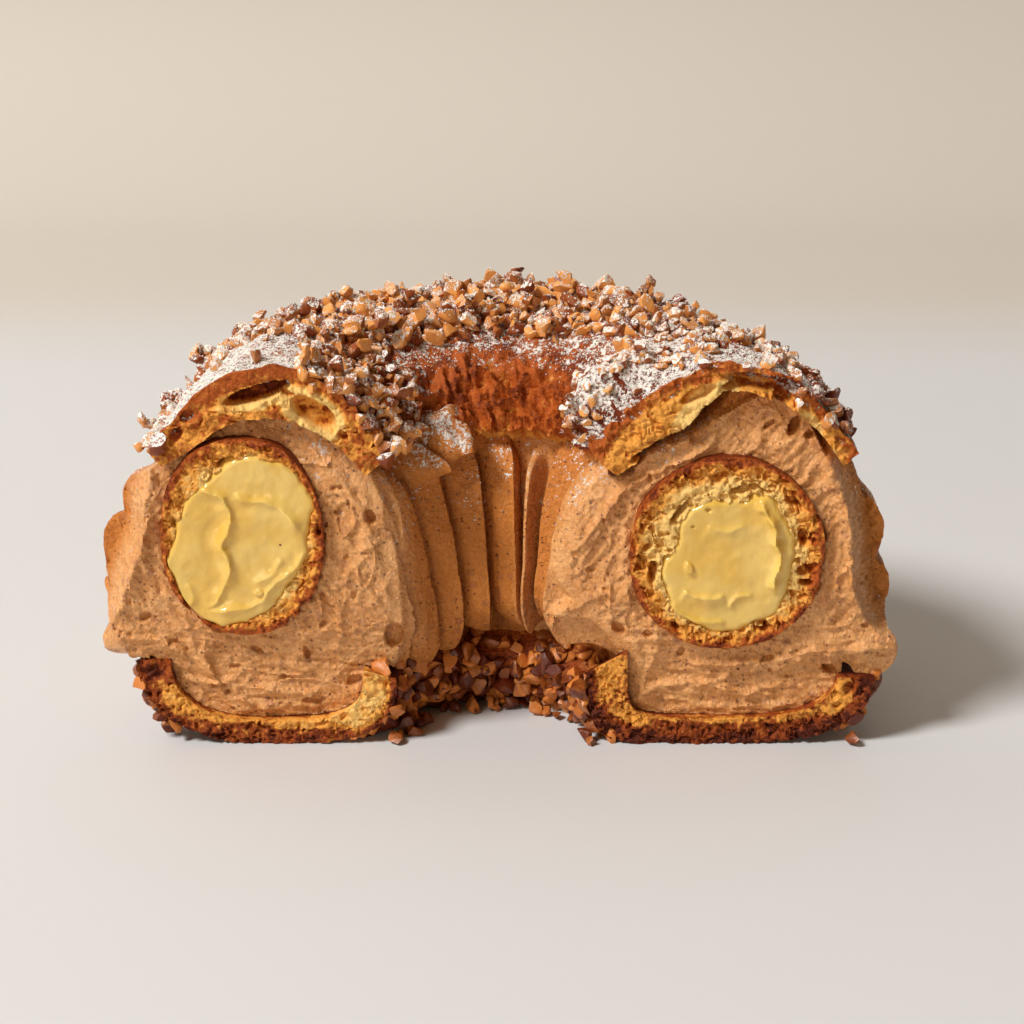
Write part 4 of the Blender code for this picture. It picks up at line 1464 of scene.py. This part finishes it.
class PASTRY_OT_stage(bpy.types.Operator):
    """Make the floor and backdrop, the lights and the camera"""

    bl_idname = "pastry.stage"
    bl_label = "Stage"

    def execute(self, context):
        scene = context.scene
        deselect()
        bpy.ops.mesh.primitive_plane_add(size=1.0, location=(0, CUT_Y, 0))
        floor = context.object
        floor.name = "floor"
        floor.scale = (6.0, 3.0, 1.0)
        apply_place(floor)
        points = get_points(floor)
        back = points[:, 1] > 0
        points[back, 1] = 300.0
        set_points(floor, points)
        floor.data.vertices.foreach_set("select", back)
        edit()
        bpy.ops.mesh.select_mode(type="EDGE")
        bpy.ops.mesh.select_all(action="DESELECT")
        edit(False)
        for edge in floor.data.edges:
            edge.select = all(back[v] for v in edge.vertices)
        edit()
        bend, steps = 0.10, 12
        moves = [(0, bend, 0)]
        for step in range(steps):
            a, b = (math.pi / 2 * (step + k) / steps for k in (0, 1))
            moves.append((0, bend * (math.sin(b) - math.sin(a)), bend * (math.cos(a) - math.cos(b))))
        for move in (*moves, (0, 0, 2.0)):
            bpy.ops.mesh.extrude_region_move(TRANSFORM_OT_translate={"value": move})
        edit(False)
        bpy.ops.object.shade_smooth()
        floor.data.materials.append(floor_material(scene.pastry_colours))

        scene.world = scene.world or bpy.data.worlds.new("studio")
        scene.world.use_nodes = True
        air = scene.world.node_tree.nodes["Background"]
        air.inputs["Color"].default_value = (1.0, 0.66, 0.34, 1.0)
        air.inputs["Strength"].default_value = 0.10

        target = Vector((AXIS_X + 2.2 * MM, CUT_Y, 0.0477))

        def hang(name, data, way, far):
            item = bpy.data.objects.new(name, data)
            scene.collection.objects.link(item)
            item.location = target + Vector(way) * far
            item.rotation_euler = (target - item.location).to_track_quat("-Z", "Y").to_euler()
            return item

        for name, way, far, size, energy, colour in (
            ("key", (-0.574, -0.345, 0.743), 2.4, 0.7, 63.0, (1.0, 0.965, 0.92)),
            ("front_fill", (-0.40, -0.90, 0.15), 2.0, 1.0, 8.0, (1.0, 0.85, 0.66)),
        ):
            light = bpy.data.lights.new(name, "AREA")
            light.shape, light.size, light.energy, light.color = "DISK", size, energy, colour
            hang(name, light, Vector(way).normalized(), far)

        lens = bpy.data.cameras.new("camera")
        lens.lens, lens.sensor_width = 94.4, 36.0
        rise = math.radians(20)
        scene.camera = hang("camera", lens, (0, -math.cos(rise), math.sin(rise)), 0.5)
        scene.view_settings.view_transform = "Standard"
        return {"FINISHED"}


def pits(points):
    """Painted shade: deeper cells of a cut crumb are given a lower bake depth, so they are painted browner,
    standing for the shade in the hollows of the cut.
    """
    depth = points[:, 1]
    return (1.3 * climb(depth, 0.3, 1.6) + 2.6 * climb(depth, 2.0, 2.0)) * (depth < 8.0)


class PASTRY_OT_praline_cream(bpy.types.Operator):
    """Pipe the praline cream in overlapping folds and cut both ends"""

    bl_idname = "pastry.praline_cream"
    bl_label = "Praline cream"

    def execute(self, context):
        boxes = ((-83, -12, -3, 80), (6, 83, -3, 80))
        fine = context.scene.pastry_sizes.cut_detail / MM
        piece, points, turn, r, z = make_layer(
            "praline_cream_filling", 124, 290, cream_shape, cream_face, boxes, fine
        )
        up = climb(z, 30, 25) * climb(r, 44, -8)
        flap = hump(turn, FLAP_TURN, 0.16) * climb(z, 50, 4) * climb(r, 40, -6)
        store(piece, "dust", (0.34 * up + 0.35 * flap) * climb(points[:, 1], 1.0, 2.0))
        # painted shade: cream more than a few millimetres behind the cut is marked to be painted darker as if
        # in shade, less so on the fin, which catches the light
        painted_shade = 0.85 - 0.70 * hump(turn, FIN, 0.07) * (r < 34)
        store(piece, "painted_shade", painted_shade * climb(points[:, 1], 3.0, 5.0))
        finish_piece(piece, cream_material(context.scene.pastry_colours), "praline_cream")
        return {"FINISHED"}


class PASTRY_OT_inner_choux(bpy.types.Operator):
    """Bake the thin choux ring inside the cream and cut both ends"""

    bl_idname = "pastry.inner_choux"
    bl_label = "Inner choux ring"

    def execute(self, context):
        look = context.scene.pastry_colours
        boxes = ((-67, -30, 20, 65), (22, 65, 16, 60))
        shaping = (tube_shape, tube_face, boxes, 0.26)
        piece, points, turn, _, z = make_layer("inner_choux_ring", 96, 150, *shaping)
        at_left = turn < 0.5
        skin = np.where(at_left, *(tube_share(points[:, 0], z, side) for side in (LEFT, RIGHT)))
        depth = np.clip((1 - skin) * np.where(at_left, 15, 17), 0, DEEP)
        depth += (1.3 * cloud(points, 2.4, 65) + 0.9 * cloud(points, 0.9, 66)) * step01(depth / 0.25)
        # painted shade in the hollows of the cut crumb
        store(piece, "bake_depth", depth - 0.55 * pits(points))
        material = choux_material("inner_choux", look, look.burnt, look.crust)
        finish_piece(piece, material, "inner_choux")
        return {"FINISHED"}


class PASTRY_OT_pastry_cream(bpy.types.Operator):
    """Fill the inner ring with pastry cream and cut both ends"""

    bl_idname = "pastry.pastry_cream"
    bl_label = "Pastry cream"

    def execute(self, context):
        def inside_the_tube(turn, share, beyond):
            return tube_shape(turn, share, beyond, 0.30)

        boxes = ((-66, -32, 22, 63), (24, 62, 18, 58))
        piece, *_ = make_layer("pastry_cream_filling", 84, 120, inside_the_tube, custard_face, boxes, 0.26)
        material = custard_material(context.scene.pastry_colours)
        finish_piece(piece, material, "pastry_cream", 75)
        return {"FINISHED"}


class PASTRY_OT_base_choux(bpy.types.Operator):
    """Bake the base that holds the cream and cut both ends"""

    bl_idname = "pastry.base_choux"
    bl_label = "Base"

    def execute(self, context):
        look = context.scene.pastry_colours
        boxes = ((-75, -14, -3, 26), (6, 80, -3, 26))
        shaping = (base_shape, base_face, boxes, 0.28)
        piece, points, turn, r, z = make_layer("base_choux_trough", 130, 330, *shaping)
        s = section(turn)
        half, square = on_side(s, r > s.middle, "base", "foot")
        share = rounded(np.abs(r - s.middle) / half, np.maximum(s.rim - z, 0) / s.rim, square)
        depth = np.clip(np.minimum((1 - share) * 15, z * 0.9), 0, DEEP)
        at_cut = np.minimum(depth * 0.30, 0.75) + hollows_at_cuts(points, PALE_BASE) * step01(depth / 1.2)
        at_cut += 0.9 * cloud(points, 2.6, 97) + 0.6 * cloud(points, 0.9, 98) - 0.35 * (points[:, 0] > 0)
        # painted shade in the hollows of the cut crumb
        store(piece, "bake_depth", np.where(points[:, 1] < 3.0, at_cut, depth * 0.25) - 0.6 * pits(points))
        material = choux_material("base_choux", look, look.foot_burnt, look.foot)
        finish_piece(piece, material, "base_choux")
        return {"FINISHED"}


class PASTRY_OT_top_choux(bpy.types.Operator):
    """Bake the lid and cut both ends"""

    bl_idname = "pastry.top_choux"
    bl_label = "Lid"

    def execute(self, context):
        look = context.scene.pastry_colours
        boxes = ((-75, -14, 44, 88), (4, 78, 44, 88))
        shaping = (lid_shape, lid_face, boxes, 0.28)
        piece, points, turn, r, z = make_layer("top_choux_lid", 170, 330, *shaping)
        depth, degrees = lid_depth(turn, r, z)
        depth = np.clip(depth - 0.3, 0, DEEP)
        at_cut = (points[:, 1] < 7.0) & (depth > 0.8)
        at_right = points[:, 0] > 0
        crumb_depth = np.minimum(depth * 0.55, 1.25)
        crumb_depth += hollows_at_cuts(points, PALE_LID) * climb(depth, 0.8, 1.0)
        crumb_depth += clouds(points, (0.9, 3.0, 91), (0.6, 1.0, 92)) + 0.5 * at_right
        outside = depth * 0.30 + clouds(points, (0.45, 3.4, 93), (0.3, 1.2, 94))
        outside += 1.6 * at_lump(turn, degrees, 0.11, 128, 30)
        outside += 0.55 * climb(points[:, 1], 4.0, -3.0) - 0.10 * climb(degrees, 112, 8)
        outside += 1.1 * climb(degrees, 128, 8) * climb(turn, 0.2, 0.1)
        baked = np.where(at_cut, crumb_depth, outside)
        # painted shade in the hollows of the cut crumb, strongest in the cavities of the left lid
        store(piece, "bake_depth", baked - np.where(at_right, 0.30, 1.35) * pits(points))
        store(piece, "dust", dust_on(points) * climb(depth, 2.4, -1.2))
        material = choux_material("top_choux", look, look.burnt, look.crust, with_dust=True)
        finish_piece(piece, material, "top_choux")
        return {"FINISHED"}


class PASTRY_OT_lid_nuts(bpy.types.Operator):
    """Strew chopped roasted nuts over the lid"""

    bl_idname = "pastry.lid_nuts"
    bl_label = "Nuts on the lid"

    def execute(self, context):
        rng = np.random.default_rng(21)
        look, sizes = context.scene.pastry_colours, context.scene.pastry_sizes
        kinds = nut_kinds()
        lid = bpy.data.objects["top_choux_lid"]
        shapes = []
        # each layer lies on the lid and on the nuts of the layers before it
        for layer, spacing in enumerate((2.0, 2.7, 4.2)):
            under = [gather("chopped_nuts_under", shapes)] if shapes else []
            tries = sizes.nut_tries // 2 if under else sizes.nut_tries
            found = scatter(rng, tries, spacing, lid_sample, reach_of(lid, *under))
            for piece in under:
                bpy.data.objects.remove(piece)
            for at, normal, (turn, degrees) in found:
                points, faces, skin, low = a_nut(
                    rng, kinds, normal, sizes.nut_size, (0.42, 0.62, 1.0), float(nut_scale(turn, degrees))
                )
                roast = rng.beta(0.7, 0.9) + 0.22 * (degrees < 56) + 0.35 * (turn > 0.88 and degrees < 66)
                tint = {
                    "roast": roast,
                    "skin": skin * float(rng.random() < 0.5),
                    "dust": float(dust_cover(turn, degrees)) * rng.uniform(0.55, 1.25),
                }
                shapes.append((points + (at + normal * (low * (0.62 if layer else 0.55))), faces, tint))
        piece = gather("chopped_nuts_on_lid", shapes)
        material = nut_material("lid_nuts", look, look.nut_pale, look.nut_toasted, with_dust=True)
        finish_piece(piece, material, sharp=38)
        return {"FINISHED"}


class PASTRY_OT_base_nuts(bpy.types.Operator):
    """Press chopped nuts round the base, and drop a few at its foot"""

    bl_idname = "pastry.base_nuts"
    bl_label = "Nuts round the base"

    def execute(self, context):
        rng = np.random.default_rng(31)
        look, size = context.scene.pastry_colours, context.scene.pastry_sizes.nut_size
        kinds = nut_kinds()
        ground = reach_of(bpy.data.objects["base_choux_trough"])
        shapes = []
        for at, normal, _ in scatter(rng, BASE_TRIES, 2.0, base_sample, ground):
            if at[1] < CUT_Y + BARE * MM:
                continue
            points, faces, skin, low = a_nut(rng, kinds, normal, size, (0.50, 0.75, 1.05))
            centre = at + normal * (low * 0.5)
            centre[2] = max(centre[2], -points[:, 2].min())
            tint = {"roast": 0.05 + rng.beta(0.8, 0.8), "skin": skin * float(rng.random() < 0.5)}
            shapes.append((points + centre, faces, tint))
        # loose pieces on the floor close to the foot
        for _ in range(LOOSE_NUTS):
            inner = rng.random() < 0.7
            turn = rng.uniform(0, 1) if inner else rng.choice([rng.uniform(0, 0.1), rng.uniform(0.9, 1)])
            s = section(np.float64(turn))
            r = float(s.middle - s.base_in - rng.uniform(-1.0, 2.4) if inner else s.middle + s.base_out - 4)
            points, faces, skin = kinds[rng.integers(len(kinds))]
            points = points @ turned(rng, (0, 0, 1)).T * size * rng.uniform(0.4, 0.85)
            centre = place(turn, r, 0.0, 0.0) * MM + (AXIS_X, CUT_Y, 0)
            centre[2] = -points[:, 2].min()
            shapes.append((points + centre, faces, {"roast": rng.uniform(0.2, 1.0), "skin": skin * 1.0}))
        piece = gather("chopped_nuts_round_base", shapes)
        # the nuts round the base take the darker colours that carry painted shade
        finish_piece(piece, nut_material("base_nuts", look, look.nut_glazed, look.nut_dark), sharp=38)
        return {"FINISHED"}


class PASTRY_OT_icing_sugar(bpy.types.Operator):
    """Sieve clumps of icing sugar over the lid and a little over the cream"""

    bl_idname = "pastry.icing_sugar"
    bl_label = "Icing sugar"

    def execute(self, context):
        rng = np.random.default_rng(41)
        size, count = context.scene.pastry_sizes.grain_size, context.scene.pastry_sizes.grains
        names = ("top_choux_lid", "chopped_nuts_on_lid", "praline_cream_filling")
        ground = reach_of(*(bpy.data.objects[name] for name in names))
        deselect()
        bpy.ops.mesh.primitive_cone_add(vertices=4, radius1=0.5, radius2=0.22, depth=0.7)
        edit_all()
        bpy.ops.mesh.quads_convert_to_tris()
        end_edit(outwards=False)
        points, faces = mesh_of(context.object)
        down = Vector((0.06, 0.04, -1.0)).normalized()
        tries = count * 8
        r, turn = np.sqrt(rng.uniform(12.0**2, 74.0**2, tries)), rng.uniform(0, 1, tries)
        tops = place(turn, r, np.full(tries, 100.0), 0.0) * MM + (AXIS_X, CUT_Y, 0)
        hits = [ground.ray_cast(Vector(top), down, 0.2)[:2] for top in tops]
        hits = [(at, normal) for at, normal in hits if at is not None and at[2] > 0.02]
        at, normal = (np.array([hit[k] for hit in hits]) for k in range(2))
        where = (at - (AXIS_X, CUT_Y, 0)) / MM
        amount = np.where(where[:, 2] < 57, 0.30, dust_on(where))
        chance = amount * (0.55 + 0.9 * cloud(where, 3.2, 501, 2)) * np.maximum(normal[:, 2], 0.0)
        shapes = []
        for i in np.nonzero(rng.random(len(at)) < chance)[0][:count]:
            grain = points @ turned(rng, normal[i]).T * size * rng.uniform(0.5, 1.35)
            shapes.append((grain + at[i] + normal[i] * size * 0.1, faces, {}))
        finish_piece(gather("icing_sugar", shapes), sugar_material(context.scene.pastry_colours), sharp=20)
        return {"FINISHED"}


class PASTRY_PT_panel(bpy.types.Panel):
    """Settings and makers of the pastry"""

    bl_idname = "PASTRY_PT_panel"
    bl_label = "Paris-brest"
    bl_space_type = "VIEW_3D"
    bl_region_type = "UI"
    bl_category = "Pastry"

    def draw(self, context):
        layout = self.layout
        for settings in (context.scene.pastry_sizes, context.scene.pastry_colours):
            for key in settings.__annotations__:
                layout.prop(settings, key)
        for maker in MAKERS:
            layout.operator(maker.bl_idname)


MAKERS = (
    PASTRY_OT_stage,
    PASTRY_OT_praline_cream,
    PASTRY_OT_inner_choux,
    PASTRY_OT_pastry_cream,
    PASTRY_OT_base_choux,
    PASTRY_OT_top_choux,
    PASTRY_OT_lid_nuts,
    PASTRY_OT_base_nuts,
    PASTRY_OT_icing_sugar,
)


def register():
    for each in (PastrySizes, PastryColours, *MAKERS, PASTRY_PT_panel):
        bpy.utils.register_class(each)
    bpy.types.Scene.pastry_sizes = bpy.props.PointerProperty(type=PastrySizes)
    bpy.types.Scene.pastry_colours = bpy.props.PointerProperty(type=PastryColours)


def unregister():
    del bpy.types.Scene.pastry_colours
    del bpy.types.Scene.pastry_sizes
    for each in reversed((PastrySizes, PastryColours, *MAKERS, PASTRY_PT_panel)):
        bpy.utils.unregister_class(each)


def main():
    register()
    bpy.ops.pastry.stage()
    bpy.ops.pastry.praline_cream()
    bpy.ops.pastry.inner_choux()
    bpy.ops.pastry.pastry_cream()
    bpy.ops.pastry.base_choux()
    bpy.ops.pastry.top_choux()
    bpy.ops.pastry.lid_nuts()
    bpy.ops.pastry.base_nuts()
    bpy.ops.pastry.icing_sugar()


if __name__ == "__main__":
    main()
